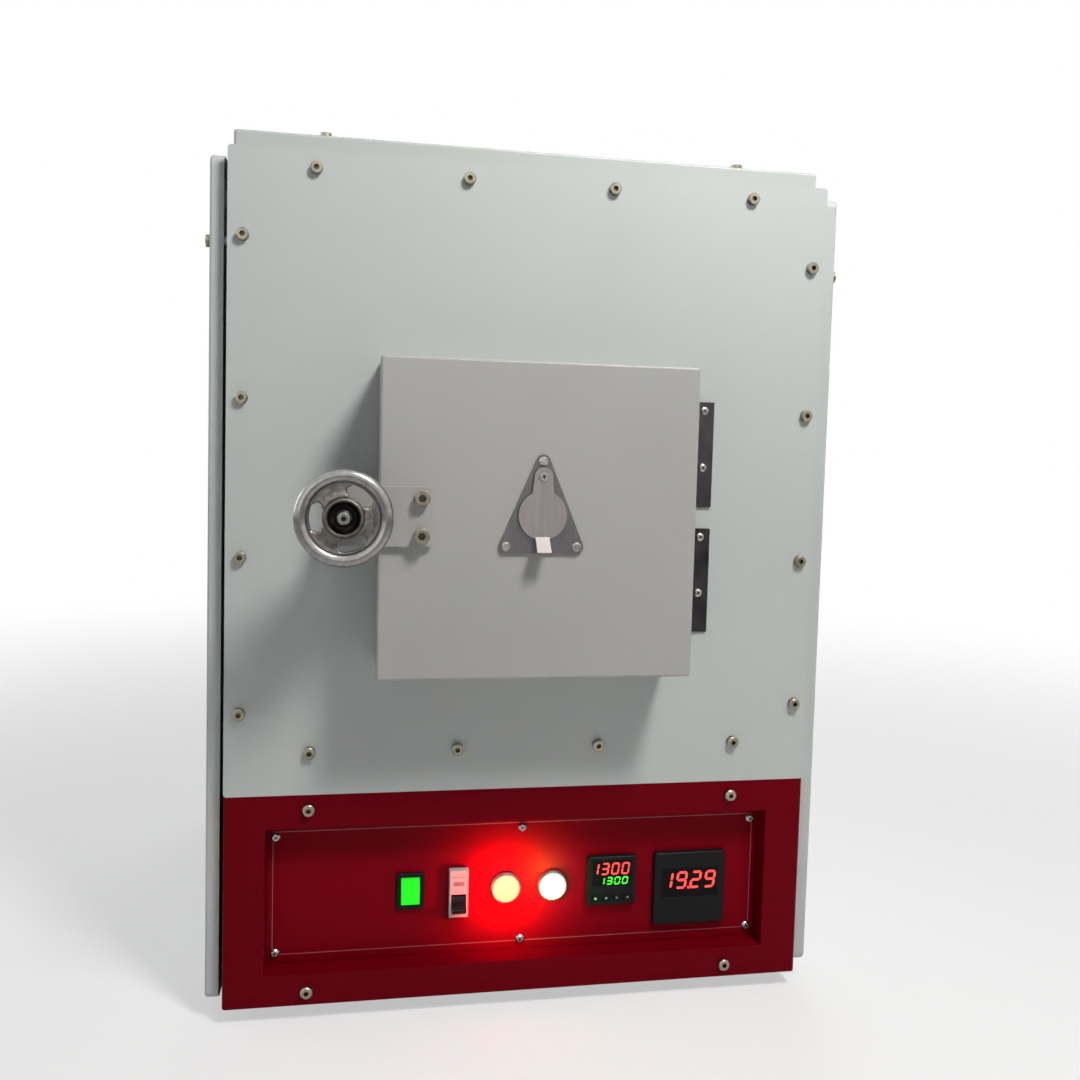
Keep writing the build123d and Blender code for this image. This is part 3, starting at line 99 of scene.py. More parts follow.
def new_material(name):
    """An empty node material with its output and one Principled shader."""
    material = bpy.data.materials.new(name)
    material.use_nodes = True
    tree = material.node_tree
    tree.nodes.clear()
    out = tree.nodes.new("ShaderNodeOutputMaterial")
    shader = tree.nodes.new("ShaderNodeBsdfPrincipled")
    tree.links.new(shader.outputs["BSDF"], out.inputs["Surface"])
    return material, tree, shader


def add(tree, kind, **values):
    """A node with its settings, and its sockets by name."""
    node = tree.nodes.new(kind)
    for key, value in values.items():
        if key in node.inputs:
            node.inputs[key].default_value = value
        else:
            setattr(node, key, value)
    return node


def noise(tree, scale, detail=3.0, stretch=None):
    """Noise in object space, in cells per metre, stretched if asked."""
    place = add(tree, "ShaderNodeTexCoord")
    source = place.outputs["Object"]
    if stretch:
        mapping = add(tree, "ShaderNodeMapping")
        mapping.inputs["Scale"].default_value = stretch
        tree.links.new(source, mapping.inputs["Vector"])
        source = mapping.outputs["Vector"]
    texture = add(tree, "ShaderNodeTexNoise", Scale=scale, Detail=detail)
    tree.links.new(source, texture.inputs["Vector"])
    return texture.outputs["Fac"]


def ramp(tree, value, stops):
    """A colour ramp over a value: stops are (place, colour)."""
    node = add(tree, "ShaderNodeValToRGB")
    elements = node.color_ramp.elements
    while len(elements) < len(stops):
        elements.new(0.5)
    for element, (place, colour) in zip(elements, stops):
        element.position = place
        element.color = (*colour, 1) if len(colour) == 3 else colour
    tree.links.new(value, node.inputs["Fac"])
    return node.outputs["Color"]


def spread(tree, value, low, high):
    """A value from 0 to 1 turned into one from low to high."""
    node = add(tree, "ShaderNodeMapRange")
    node.inputs["To Min"].default_value = low
    node.inputs["To Max"].default_value = high
    tree.links.new(value, node.inputs["Value"])
    return node.outputs["Result"]


def bump(tree, shader, value, strength, distance):
    """Relief from a value, in metres."""
    node = add(tree, "ShaderNodeBump", Strength=strength, Distance=distance)
    tree.links.new(value, node.inputs["Height"])
    tree.links.new(node.outputs["Normal"], shader.inputs["Normal"])


def mottled(tree, value, dark, light):
    """Two colours blended over the middle of a noise's range."""
    return ramp(tree, value, [(MOTTLE_FROM, dark), (MOTTLE_TO, light)])


def shade(colour, factor):
    """A colour made darker or lighter by a factor."""
    return tuple(min(1.0, c * factor) for c in colour)


def blend_colours(tree, factor, first, second):
    """A mix of two colours, each a socket or a plain colour."""
    node = add(tree, "ShaderNodeMix", data_type="RGBA")
    tree.links.new(factor, node.inputs["Factor"])
    for socket, colour in ((node.inputs[6], first), (node.inputs[7], second)):
        if isinstance(colour, tuple):
            socket.default_value = (*colour, 1)
        else:
            tree.links.new(colour, socket)
    return node.outputs[2]


# Finishes: noise scales in cells per metre, depths and reaches in metres
BLOTCH_SCALE = 3.2
GLOSS_SCALE = 11.0
PEEL_SCALE = 900.0
PEEL_DEPTH = 0.00008


def paint(name, colour, roughness, dirt=0.06, specular=0.5):
    """Powder coat: faint blotches, orange peel and slight changes of gloss."""
    material, tree, shader = new_material(name)
    shader.inputs["Specular IOR Level"].default_value = specular
    blotch = noise(tree, BLOTCH_SCALE, 4.0)
    base = mottled(tree, blotch, shade(colour, 1 - dirt), shade(colour, 1 + dirt / 2))
    tree.links.new(base, shader.inputs["Base Color"])
    sheen = spread(tree, noise(tree, GLOSS_SCALE, 2.0), roughness - 0.05, roughness + 0.06)
    tree.links.new(sheen, shader.inputs["Roughness"])
    bump(tree, shader, noise(tree, PEEL_SCALE, 1.0), 0.35, PEEL_DEPTH)
    return material


# Painted shade in narrow recesses: samples and the span over which the colour darkens
PAINTED_SHADE_SAMPLES = 6
PAINTED_SHADE_FROM, PAINTED_SHADE_TO = 0.25, 0.85


def painted_recess_shade(tree, colour, reach, darkest):
    """Painted shade: a colour darkened in narrow recesses, within a reach in metres."""
    shelter = add(tree, "ShaderNodeAmbientOcclusion", Distance=reach)
    shelter.samples = PAINTED_SHADE_SAMPLES
    cover = ramp(tree, shelter.outputs["AO"], [(PAINTED_SHADE_FROM, (darkest,) * 3), (PAINTED_SHADE_TO, (1, 1, 1))])
    mixed = add(tree, "ShaderNodeMix", data_type="RGBA", blend_type="MULTIPLY")
    mixed.inputs["Factor"].default_value = 1.0
    tree.links.new(colour, mixed.inputs[6])
    tree.links.new(cover, mixed.inputs[7])
    return mixed.outputs[2]


GRAIN_DEPTH = 0.00004
PAINTED_SHADE_DARKEST = 0.12


def metal(name, colour, roughness, stretch=(1, 1, 1), scale=180.0, contrast=0.18, metallic=1.0, painted_shade_reach=0.0):
    """Bare metal with brushed or rolled grain, with painted shade in its recesses if asked."""
    material, tree, shader = new_material(name)
    grain = noise(tree, scale, 3.0, stretch)
    base = mottled(tree, grain, shade(colour, 1 - contrast), shade(colour, 1 + contrast / 2))
    if painted_shade_reach:
        base = painted_recess_shade(tree, base, painted_shade_reach, PAINTED_SHADE_DARKEST)
    tree.links.new(base, shader.inputs["Base Color"])
    shader.inputs["Metallic"].default_value = metallic
    tree.links.new(spread(tree, grain, roughness - 0.07, roughness + 0.1), shader.inputs["Roughness"])
    bump(tree, shader, grain, 0.5, GRAIN_DEPTH)
    return material


TINT_SCALE = 25.0
PLASTIC_DEPTH = 0.00003


def plastic(name, colour, roughness, scale=1400.0, specular=0.5):
    """Moulded plastic with a fine grain."""
    material, tree, shader = new_material(name)
    shader.inputs["Specular IOR Level"].default_value = specular
    grain = noise(tree, scale, 2.0)
    base = mottled(tree, noise(tree, TINT_SCALE), shade(colour, 0.92), shade(colour, 1.06))
    tree.links.new(base, shader.inputs["Base Color"])
    tree.links.new(spread(tree, grain, roughness - 0.04, roughness + 0.05), shader.inputs["Roughness"])
    bump(tree, shader, grain, 0.3, PLASTIC_DEPTH)
    return material


FIBRE_MOTTLE_SCALE = 9.0
FIBRE_ROUGHNESS = 0.95
FIBRE_DEPTH = 0.0006


def fibre(name, colour, scale=160.0, soot=0.0):
    """Ceramic fibre board: matt, mottled and slightly woolly."""
    material, tree, shader = new_material(name)
    mottle = noise(tree, FIBRE_MOTTLE_SCALE, 6.0)
    base = ramp(tree, mottle, [(0.25, shade(colour, 0.86 - soot)), (0.75, shade(colour, 1.04))])
    tree.links.new(base, shader.inputs["Base Color"])
    shader.inputs["Roughness"].default_value = FIBRE_ROUGHNESS
    bump(tree, shader, noise(tree, scale, 6.0), 0.7, FIBRE_DEPTH)
    return material


def glow(name, core, edge, strength):
    """A lit lens: brighter in the middle than at its rim, by the angle of the surface."""
    material, tree, shader = new_material(name)
    facing = add(tree, "ShaderNodeLayerWeight", Blend=0.35)
    colour = ramp(tree, facing.outputs["Facing"], [(0.0, core), (0.75, edge)])
    tree.links.new(colour, shader.inputs["Emission Color"])
    tree.links.new(colour, shader.inputs["Base Color"])
    shader.inputs["Emission Strength"].default_value = strength
    shader.inputs["Roughness"].default_value = 0.25
    return material


HAZE_SCALE = 60.0
QUARTZ_IOR = 1.46


def glass(name, colour, clear):
    """Quartz with a slight haze, clear up to a share of its light."""
    material, tree, shader = new_material(name)
    tree.links.new(spread(tree, noise(tree, HAZE_SCALE), 0.05, 0.10), shader.inputs["Roughness"])
    shader.inputs["Base Color"].default_value = (*colour, 1)
    shader.inputs["Transmission Weight"].default_value = clear
    shader.inputs["IOR"].default_value = QUARTZ_IOR
    return material


# Radii on the handwheel between which the finish turns from the cup's painted shade to casting, and to
# polished rim
wheel_low, wheel_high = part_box("handwheel")
wheel_centre = ((wheel_low[0] + wheel_high[0]) / 2, (wheel_low[2] + wheel_high[2]) / 2)
CUP_FROM, CUP_TO = 0.0121, 0.0131
RIM_FROM, RIM_TO = 0.0262, 0.0292
CUP_PAINTED_SHADE = (0.05, 0.046, 0.043)
# How far the painted shade reaches into the web's recesses, in metres
CAST_SHADE_REACH = 0.008
CAST_DEPTH = 0.0005


def cast_wheel(name):
    """A cast wheel: a polished rim, rough grey casting in the web with painted shade in its recesses, and a
    near-black cup in the hub as painted shade.
    """
    material, tree, shader = new_material(name)
    rough_cast = noise(tree, 260.0, 5.0)
    place = add(tree, "ShaderNodeTexCoord")
    apart = add(tree, "ShaderNodeVectorMath", operation="DISTANCE")
    x, z = wheel_centre
    flat = add(tree, "ShaderNodeVectorMath", operation="MULTIPLY")
    flat.inputs[1].default_value = (1, 0, 1)
    tree.links.new(place.outputs["Object"], flat.inputs[0])
    tree.links.new(flat.outputs["Vector"], apart.inputs[0])
    apart.inputs[1].default_value = (x, 0, z)
    rim = ramp(tree, apart.outputs["Value"], [(RIM_FROM, (0, 0, 0)), (RIM_TO, (1, 1, 1))])
    bright = mottled(tree, noise(tree, 240.0, 3.0), (0.27, 0.265, 0.26), (0.37, 0.365, 0.36))
    dull = mottled(tree, rough_cast, (0.10, 0.090, 0.080), (0.24, 0.22, 0.20))
    # The cup near-black and the web darker in its recesses: painted shade
    cup = ramp(tree, apart.outputs["Value"], [(CUP_FROM, (0, 0, 0)), (CUP_TO, (1, 1, 1))])
    web = painted_recess_shade(tree, blend_colours(tree, cup, CUP_PAINTED_SHADE, dull), CAST_SHADE_REACH, 0.3)
    tree.links.new(blend_colours(tree, rim, web, bright), shader.inputs["Base Color"])
    tree.links.new(spread(tree, rim, 0.48, 0.24), shader.inputs["Roughness"])
    shader.inputs["Metallic"].default_value = 1.0
    relief = add(tree, "ShaderNodeMath", operation="MULTIPLY")
    away = add(tree, "ShaderNodeMath", operation="SUBTRACT")
    away.inputs[0].default_value = 1.05
    tree.links.new(rim, away.inputs[1])
    tree.links.new(rough_cast, relief.inputs[0])
    tree.links.new(away.outputs["Value"], relief.inputs[1])
    bump(tree, shader, relief.outputs["Value"], 0.8, CAST_DEPTH)
    return material


GREY = (0.490, 0.520, 0.508)
# The door's grey: the same paint as the panel's, darker as painted shade
DOOR_GREY_SHADED = (0.385, 0.383, 0.368)
RED = (0.150, 0.0, 0.0055)
PLATE_RED = (0.200, 0.0, 0.0060)

finishes = {
    "grey_paint": paint("grey_paint", GREY, 0.46),
    "door_paint": paint("door_paint", DOOR_GREY_SHADED, 0.42),
    # the latch bracket: door paint a little darker, as painted shadow of the handwheel
    "shaded_bracket_paint": paint("shaded_bracket_paint", shade(DOOR_GREY_SHADED, 0.96), 0.42),
    "red_paint": paint("red_paint", RED, 0.42, specular=0.045),
    "plate_red": paint("plate_red", PLATE_RED, 0.48, dirt=0.10, specular=0.05),
    "galvanised": metal("galvanised", (0.46, 0.48, 0.50), 0.42, scale=35.0, contrast=0.25),
    "stainless": metal("stainless", (0.20, 0.188, 0.190), 0.36, stretch=(1, 1, 0.06), scale=420.0,
                       contrast=0.10),
    "shutter_steel": metal("shutter_steel", (0.35, 0.315, 0.315), 0.42, stretch=(1, 1, 0.05), scale=500.0,
                           contrast=0.07),
    # Near-black steel: its darkness is a painted reflection, polished hinge steel mirroring dark
    # surroundings
    "dark_steel": metal("dark_steel", (0.085, 0.078, 0.080), 0.22, scale=60.0, contrast=0.3),
    "cast_steel": cast_wheel("cast_steel"),
    # zinc, rod_steel and bright_steel carry painted shade in their recesses
    "zinc": metal("zinc", (0.38, 0.345, 0.26), 0.30, scale=90.0, contrast=0.3, painted_shade_reach=0.006),
    "rubber": plastic("rubber", (0.018, 0.018, 0.019), 0.75, 500.0),
    "fibre": fibre("fibre", (0.74, 0.72, 0.66)),
    "hot_fibre": fibre("hot_fibre", (0.70, 0.65, 0.56), soot=0.12),
    "alumina": fibre("alumina", (0.70, 0.67, 0.60), 320.0),
    "heating": metal("heating", (0.05, 0.046, 0.045), 0.6, scale=220.0, metallic=0.3, contrast=0.35),
    "quartz": glass("quartz", (0.9, 0.93, 0.95), 0.85),
    "smoked": plastic("smoked", (0.004, 0.003, 0.004), 0.14, specular=0.10),
    "black_plastic": plastic("black_plastic", (0.007, 0.007, 0.008), 0.34, specular=0.14),
    "white_plastic": plastic("white_plastic", (0.50, 0.49, 0.47), 0.38),
    "green_key": glow("green_key", (0.0, 0.80, 0.0), (0.0, 0.35, 0.0), 0.78),
    "red_glow": glow("red_glow", (1.0, 0.120, 0.028), (1.0, 0.055, 0.008), 16.0),
    "green_glow": glow("green_glow", (0.20, 1.0, 0.22), (0.03, 0.75, 0.05), 7.0),
    "rod_steel": metal("rod_steel", (0.34, 0.33, 0.32), 0.26, scale=140.0, painted_shade_reach=0.006),
    "bright_steel": metal("bright_steel", (0.50, 0.49, 0.48), 0.24, scale=160.0, painted_shade_reach=0.003),
    "red_digit": glow("red_digit", (1.0, 0.045, 0.035), (1.0, 0.02, 0.02), 2.2),
    "green_digit": glow("green_digit", (0.06, 1.0, 0.02), (0.02, 0.8, 0.01), 1.1),
    # Near-black plastic; the screws' crosses use it as painted shade
    "recess_dark": plastic("recess_dark", (0.012, 0.011, 0.011), 0.6, specular=0.2),
    "print_white": plastic("print_white", (0.50, 0.50, 0.50), 0.6),
    "print_grey": plastic("print_grey", (0.20, 0.19, 0.19), 0.5),
    "print_pale": plastic("print_pale", (0.32, 0.085, 0.10), 0.55),
    "aluminium": metal("aluminium", (0.48, 0.48, 0.49), 0.32, scale=200.0),
}

# Nodes whose finish isn't their material slot's
special = {
    "latch_bracket": "shaded_bracket_paint",
    "latch_rod": "rod_steel",
    "peep_screws": "bright_steel",
    "plate_screws": "bright_steel",
    "peep_shutter": "shutter_steel",
    "chamber_left": "hot_fibre",
    "chamber_right": "hot_fibre",
    "chamber_roof": "hot_fibre",
    "chamber_back": "hot_fibre",
}


def dress_nodes():
    """Gives each node of the frame its finish."""
    for part in frame["record"]["subparts"]:
        name = part["node"]
        material = finishes[special.get(name, part["material_slot"])]
        data = nodes[name].data
        data.materials.clear()
        data.materials.append(material)


dress_nodes()


# Small pieces on the frame, all in metres
def mesh_piece(name, build, material, body):
    """A piece from a bmesh, with its finish, riding on a body."""
    bmesh.ops.recalc_face_normals(build, faces=build.faces)
    mesh = bpy.data.meshes.new(name)
    build.to_mesh(mesh)
    build.free()
    mesh.materials.append(material)
    piece = bpy.data.objects.new(name, mesh)
    bpy.context.collection.objects.link(piece)
    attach(piece, body)
    return piece


def plate_shape(build, outline, front_y, back_y):
    """A flat shape in the front plane: outline is (x, z) points, from front_y back to back_y."""
    near = [build.verts.new((x, front_y, z)) for x, z in outline]
    far = [build.verts.new((x, back_y, z)) for x, z in outline]
    build.faces.new(near)
    build.faces.new(far[::-1])
    count = len(outline)
    for k in range(count):
        build.faces.new((near[k], far[k], far[(k + 1) % count], near[(k + 1) % count]))


# How far a mark stands out of its face, and how deep it sits in it
INK = 0.00004


def rectangle(x0, z0, x1, z1):
    """The corners of an upright rectangle."""
    return [(x0, z0), (x1, z0), (x1, z1), (x0, z1)]


def mark(build, outline, face_y):
    """A thin mark on a face that looks to the front."""
    plate_shape(build, outline, face_y - INK, face_y + INK)


def ring(build, centre, radius, y, count):
    """Vertices evenly round an axis along Y."""
    x, z = centre
    angles = [2 * pi * k / count for k in range(count)]
    return [build.verts.new((x + radius * cos(a), y, z + radius * sin(a))) for a in angles]


def turned(build, profile, place, turns=20):
    """A lathe shape about an axis along Y: profile is (radius, y) points, open or meeting the axis."""
    x0, y0, z0 = place
    rings = []
    for radius, y in profile:
        if radius == 0:
            rings.append([build.verts.new((x0, y0 + y, z0))])
        else:
            rings.append(ring(build, (x0, z0), radius, y0 + y, turns))
    for first, second in zip(rings, rings[1:]):
        for k in range(turns):
            after = (k + 1) % turns
            corners = [first[k % len(first)], first[after % len(first)],
                       second[after % len(second)], second[k % len(second)]]
            build.faces.new(list(dict.fromkeys(corners)))


# Cross-recessed screws: domed heads on the panel leaves, and a flat dark cross of painted shade for the
# recess of each of these heads and of the foremost small heads
HINGE_X = 0.1345
HINGE_H = 0.098
LEAF_T = 0.002
HINGE_SCREWS = ((0.0235, 0.041), (0.0130, 0.014), (0.0235, -0.012), (0.0130, -0.040))
SCREW_R = 0.0040
DOME_H = 0.0016
DOME = ((1.0, 0.0), (0.95, 0.35), (0.80, 0.70), (0.60, 0.92), (0.45, 1.0), (0.0, 1.0))
CROSS_LONG = 0.0021
CROSS_HALF = 0.00042
SAME_HEAD = 4 * SCREW_R


def painted_cross_shade(build, place, turn):
    """A flat dark cross on the front of a screw's head: painted shade standing in for its cross recess."""
    x, y, z = place
    for extra in (0, pi / 2):
        along = Vector((cos(turn + extra), sin(turn + extra)))
        across = Vector((-along.y, along.x))
        corners = [along * a * CROSS_LONG + across * b * CROSS_HALF for a, b in rectangle(-1, -1, 1, 1)]
        mark(build, [(x + c.x, z + c.y) for c in corners], y)


def make_hinge_screws():
    """Screws on the two hinge leaves that are fixed to the panel."""
    low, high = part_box("hinge_panel_leaves")
    heads, cross_shades = bmesh.new(), bmesh.new()
    dome = [(0, 0)] + [(SCREW_R * share, -DOME_H * rise) for share, rise in DOME]
    for middle in (low.z + HINGE_H / 2, high.z - HINGE_H / 2):
        for turn, (dx, dz) in enumerate(HINGE_SCREWS):
            place = (HINGE_X + dx, y_panel - LEAF_T, middle + dz)
            turned(heads, dome, place)
            # a flat dark cross on each head: painted shade of its recess
            painted_cross_shade(cross_shades, (place[0], place[1] - DOME_H, place[2]), 0.4 + 0.9 * turn)
    mesh_piece("hinge_screws", heads, finishes["bright_steel"], "casing")
    mesh_piece("hinge_screw_cross_shades", cross_shades, finishes["recess_dark"], "casing")


def make_cross_shades(node, body):
    """A dark cross of painted shade, standing in for the recess, on each of a node's foremost screw heads;
    heads further back stay plain.
    """
    mesh = nodes[node].data
    front = min(v.co.y for v in mesh.vertices)
    spots = []
    for vertex in mesh.vertices:
        if vertex.co.y > front + INK:
            continue
        near = [spot for spot in spots if (spot[0] - vertex.co).length < SAME_HEAD]
        if near:
            near[0].append(vertex.co.copy())
        else:
            spots.append([vertex.co.copy()])
    build = bmesh.new()
    for turn, spot in enumerate(spots):
        xs, zs = [v.x for v in spot], [v.z for v in spot]
        middle = ((min(xs) + max(xs)) / 2, front, (min(zs) + max(zs)) / 2)
        painted_cross_shade(build, middle, 0.3 + 0.7 * turn)
    mesh_piece(f"{node}_crosses", build, finishes["recess_dark"], body)


make_hinge_screws()
make_cross_shades("peep_screws", "door")
make_cross_shades("plate_screws", "casing")


# Digits: seven-segment figures, lit, on the two displays
SEGMENTS = {"0": "abcdef", "1": "bc", "2": "abged", "3": "abgcd", "9": "abcdfg"}
DIGIT_SLANT = tan(radians(8))
DIGIT_SHARE = 0.75
BAR_SHARE = 0.20
SEGMENT_GAP = 0.12
POINT_GAP = 0.35
GLASS_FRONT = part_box("display_windows")[0].y

# Name, figures, left, right, lower edge, upper edge, finish and slot
NUMBERS = (
    ("controller_value", "1300", 0.0673, 0.1052, 0.1160, 0.1278, "red_digit", "red_glow"),
    ("controller_target", "1300", 0.0751, 0.1040, 0.1062, 0.1138, "green_digit", "green_glow"),
    ("meter_value", "19.29", 0.1385, 0.1925, 0.0985, 0.1158, "red_digit", "red_glow"),
)


def segment_outline(which, width, height, bar):
    """The outline of one segment, in a digit with its lower left corner at 0, 0."""
    half = bar / 2
    gap = bar * SEGMENT_GAP
    levels = {"a": height - half, "g": height / 2, "d": half}
    if which in levels:
        z = levels[which]
        left, right = half + gap, width - half - gap
        return [(left, z), (left + half, z + half), (right - half, z + half), (right, z),
                (right - half, z - half), (left + half, z - half)]
    x = half if which in "ef" else width - half
    low, high = half + gap, height / 2 - gap
    if which in "bf":
        low, high = height / 2 + gap, height - half - gap
    return [(x, low), (x + half, low + half), (x + half, high - half), (x, high),
            (x - half, high - half), (x - half, low + half)]


def make_number(name, text, x0, x1, z0, z1, finish, slot):
    """A number spread evenly over a width; a point follows the digit before it."""
    digits = text.replace(".", "")
    pitch = (x1 - x0) / (len(digits) - 1 + DIGIT_SHARE)
    width = pitch * DIGIT_SHARE
    bar = width * BAR_SHARE
    height = z1 - z0
    build = bmesh.new()
    spot = -1
    for figure in text:
        if figure == ".":
            left = x0 + pitch * spot + width + bar * POINT_GAP
            mark(build, rectangle(left, z0, left + bar, z0 + bar), GLASS_FRONT)
            continue
        spot += 1
        left = x0 + pitch * spot
        for which in SEGMENTS[figure]:
            outline = [(left + x + (z - height / 2) * DIGIT_SLANT, z0 + z)
                       for x, z in segment_outline(which, width, height, bar)]
            mark(build, outline, GLASS_FRONT)
    mesh_piece(name, build, finishes[finish], "casing")


for number_row in NUMBERS:
    make_number(*number_row)

# Marks on the four keys, as corners and turn: an octagon, then triangles down, to the left and up
KEY_MARKS = ((8, pi / 8), (3, -pi / 2), (3, pi), (3, pi / 2))
KEY_MARK_R = 0.00125


def make_key_marks():
    """A printed mark on each key of the controller, which moves with the key."""
    for number, (corners, turn) in enumerate(KEY_MARKS, 1):
        low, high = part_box(f"controller_key_{number}")
        x, z = (low.x + high.x) / 2, (low.z + high.z) / 2
        angles = [turn + 2 * pi * k / corners for k in range(corners)]
        build = bmesh.new()
        mark(build, [(x + KEY_MARK_R * cos(a), z + KEY_MARK_R * sin(a)) for a in angles], low.y)
        mesh_piece(f"key_mark_{number}", build, finishes["print_white"], f"key_{number}")


make_key_marks()

# Printed frame line round the control plate
LINE_X = 0.2305
LINE_LOW, LINE_HIGH = 0.0535, 0.1690
LINE_HALF = 0.0004
plate_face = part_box("control_plate")[0].y


def make_plate_line():
    """Four thin printed bars: lower, upper, left and right."""
    build = bmesh.new()
    for x0, z0, x1, z1 in ((-LINE_X, LINE_LOW, LINE_X, LINE_LOW), (-LINE_X, LINE_HIGH, LINE_X, LINE_HIGH),
                           (-LINE_X, LINE_LOW, -LINE_X, LINE_HIGH), (LINE_X, LINE_LOW, LINE_X, LINE_HIGH)):
        bar = rectangle(x0 - LINE_HALF, z0 - LINE_HALF, x1 + LINE_HALF, z1 + LINE_HALF)
        mark(build, bar, plate_face)
    mesh_piece("plate_line", build, finishes["print_pale"], "casing")


make_plate_line()

# Marks on the breaker's nose: two thin moulded lines, as half length and height, and a marking field, as
# half width and two heights. Heights are from a level above the toggle's middle
TOGGLE_TO_NOSE = 0.008
NOSE_LINES = ((0.0065, 0.0170), (0.0065, -0.0185))
FIELD = (0.0052, 0.0085, 0.0125)
NOSE_INK = 0.0003


def make_breaker_marks():
    """The breaker's moulded lines and its marking field, all one piece."""
    low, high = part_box("breaker_body")
    x = (low.x + high.x) / 2
    toggle_low, toggle_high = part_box("breaker_toggle")
    z = (toggle_low.z + toggle_high.z) / 2 + TOGGLE_TO_NOSE
    build = bmesh.new()
    for half, rise in NOSE_LINES:
        mark(build, rectangle(x - half, z + rise - NOSE_INK, x + half, z + rise + NOSE_INK), low.y)
    half, bottom, top = FIELD
    mark(build, rectangle(x - half, z + bottom, x + half, z + top), low.y)
    mesh_piece("breaker_marks", build, finishes["print_grey"], "casing")


make_breaker_marks()

# Handwheel: a polished rim, a dished cast web with three windows and a hub with a deep cup. Heights are
# from the wheel's back towards the front, and a web ring is a radius with a front and a back height
RIM_MID, RIM_R, RIM_LIFT = 0.0335, 0.0055, 0.0090
RIM_SIDES = 16
WEB_STEPS = 60
WEB_RINGS = ((0.0150, 0.0088, 0.0040), (0.0172, 0.0092, 0.0040), (0.0195, 0.0084, 0.0036),
             (0.0220, 0.0077, 0.0032), (0.0245, 0.0072, 0.0030), (0.0268, 0.0070, 0.0030),
             (0.0298, 0.0080, 0.0040))
WINDOW_STEPS = {1: 8, 2: 10, 3: 10, 4: 8}
WINDOW_TURNS = (54, 180, 288)
HUB = ((0.00606, 0.0), (0.0125, 0.0), (0.0150, 0.0020), (0.0162, 0.0040), (0.0166, 0.0086),
       (0.0156, 0.0108), (0.0140, 0.0115), (0.0128, 0.0108), (0.0124, 0.0090), (0.0120, 0.0024),
       (0.00606, 0.0018), (0.00606, 0.0))
MERGE = 0.000001


def make_handwheel():
    """The wheel's mesh in place of its node: a web of cells with windows, closed by hub and rim."""
    x, z = wheel_centre
    back = wheel_high.y
    build = bmesh.new()
    open_cells = set()
    for row, steps in WINDOW_STEPS.items():
        for middle in WINDOW_TURNS:
            first = round(middle * WEB_STEPS / 360 - steps / 2)
            open_cells |= {(row, (first + k) % WEB_STEPS) for k in range(steps)}
    grid = [[ring(build, wheel_centre, radius, back - height, WEB_STEPS) for height in heights]
            for radius, *heights in WEB_RINGS]

    def solid_cell(row, k):
        inside = 0 <= row < len(grid) - 1
        return inside and (row, k % WEB_STEPS) not in open_cells

    for row in range(len(grid) - 1):
        for k in range(WEB_STEPS):
            if not solid_cell(row, k):
                continue
            after = (k + 1) % WEB_STEPS
            inner, outer = grid[row], grid[row + 1]
            for side in (0, 1):
                one, two = inner[side], outer[side]
                build.faces.new((one[k], one[after], two[after], two[k]))
            walls = ((solid_cell(row - 1, k), inner, inner, k, after),
                     (solid_cell(row + 1, k), outer, outer, k, after),
                     (solid_cell(row, k - 1), inner, outer, k, k),
                     (solid_cell(row, k + 1), inner, outer, after, after))
            for closed, one, two, start, end in walls:
                if not closed:
                    build.faces.new((one[0][start], two[0][end], two[1][end], one[1][start]))
    turned(build, [(radius, -height) for radius, height in HUB], (x, back, z), WEB_STEPS)
    angles = [2 * pi * k / RIM_SIDES for k in range(RIM_SIDES + 1)]
    turned(build, [(RIM_MID + RIM_R * cos(a), -RIM_LIFT - RIM_R * sin(a)) for a in angles],
           (x, back, z), WEB_STEPS)
    bmesh.ops.remove_doubles(build, verts=build.verts, dist=MERGE)
    wheel = mesh_piece("cast_handwheel", build, finishes["cast_steel"], "wheel")
    for face in wheel.data.polygons:
        face.use_smooth = True
    smooth = wheel.modifiers.new("rounded", "SUBSURF")
    smooth.levels = 2
    smooth.render_levels = 2
    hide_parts("handwheel")


make_handwheel()


# Light and surroundings. An area light has its place from the aim in metres, its size and its watts
AIM = Vector((0.0, y_panel, 0.45))
KEY_FROM = Vector((0.533, -1.0, 1.4286)).normalized()
KEY_FAR = 1.5
AREA_LIGHTS = (
    ("key", KEY_FROM * KEY_FAR, 0.36, 21.5, (1.0, 0.985, 0.96)),
    ("fill", Vector((-1.6, -2.6, 0.7)), 1.6, 3.2, (1, 1, 1)),
    ("back_fill", Vector((0.9, 2.6, 1.0)), 1.6, 22, (1, 1, 1)),
    ("side_fill", Vector((-2.8, 1.3, 0.8)), 1.6, 16, (1, 1, 1)),
)


def area_light(name, offset, size, watts, colour):
    """A round soft light that looks at the aim."""
    place = AIM + offset
    data = bpy.data.lights.new(name, "AREA")
    data.shape = "DISK"
    data.size = size
    data.energy = watts
    data.color = colour
    light = bpy.data.objects.new(name, data)
    light.location = place
    light.rotation_euler = (AIM - place).to_track_quat("-Z", "Y").to_euler()
    bpy.context.collection.objects.link(light)


# Lamp lights: each hidden in front of its lens, looking back at the plate
LAMP_AHEAD = 0.026
LAMP_CONE = 160
LAMP_SIZE = 0.010
LAMPS = (
    ("red_lamp_light", "red_lens", 1.4, (1.0, 0.015, 0.02)),
    ("green_lamp_light", "green_lens", 0.40, (0.10, 1.0, 0.12)),
)


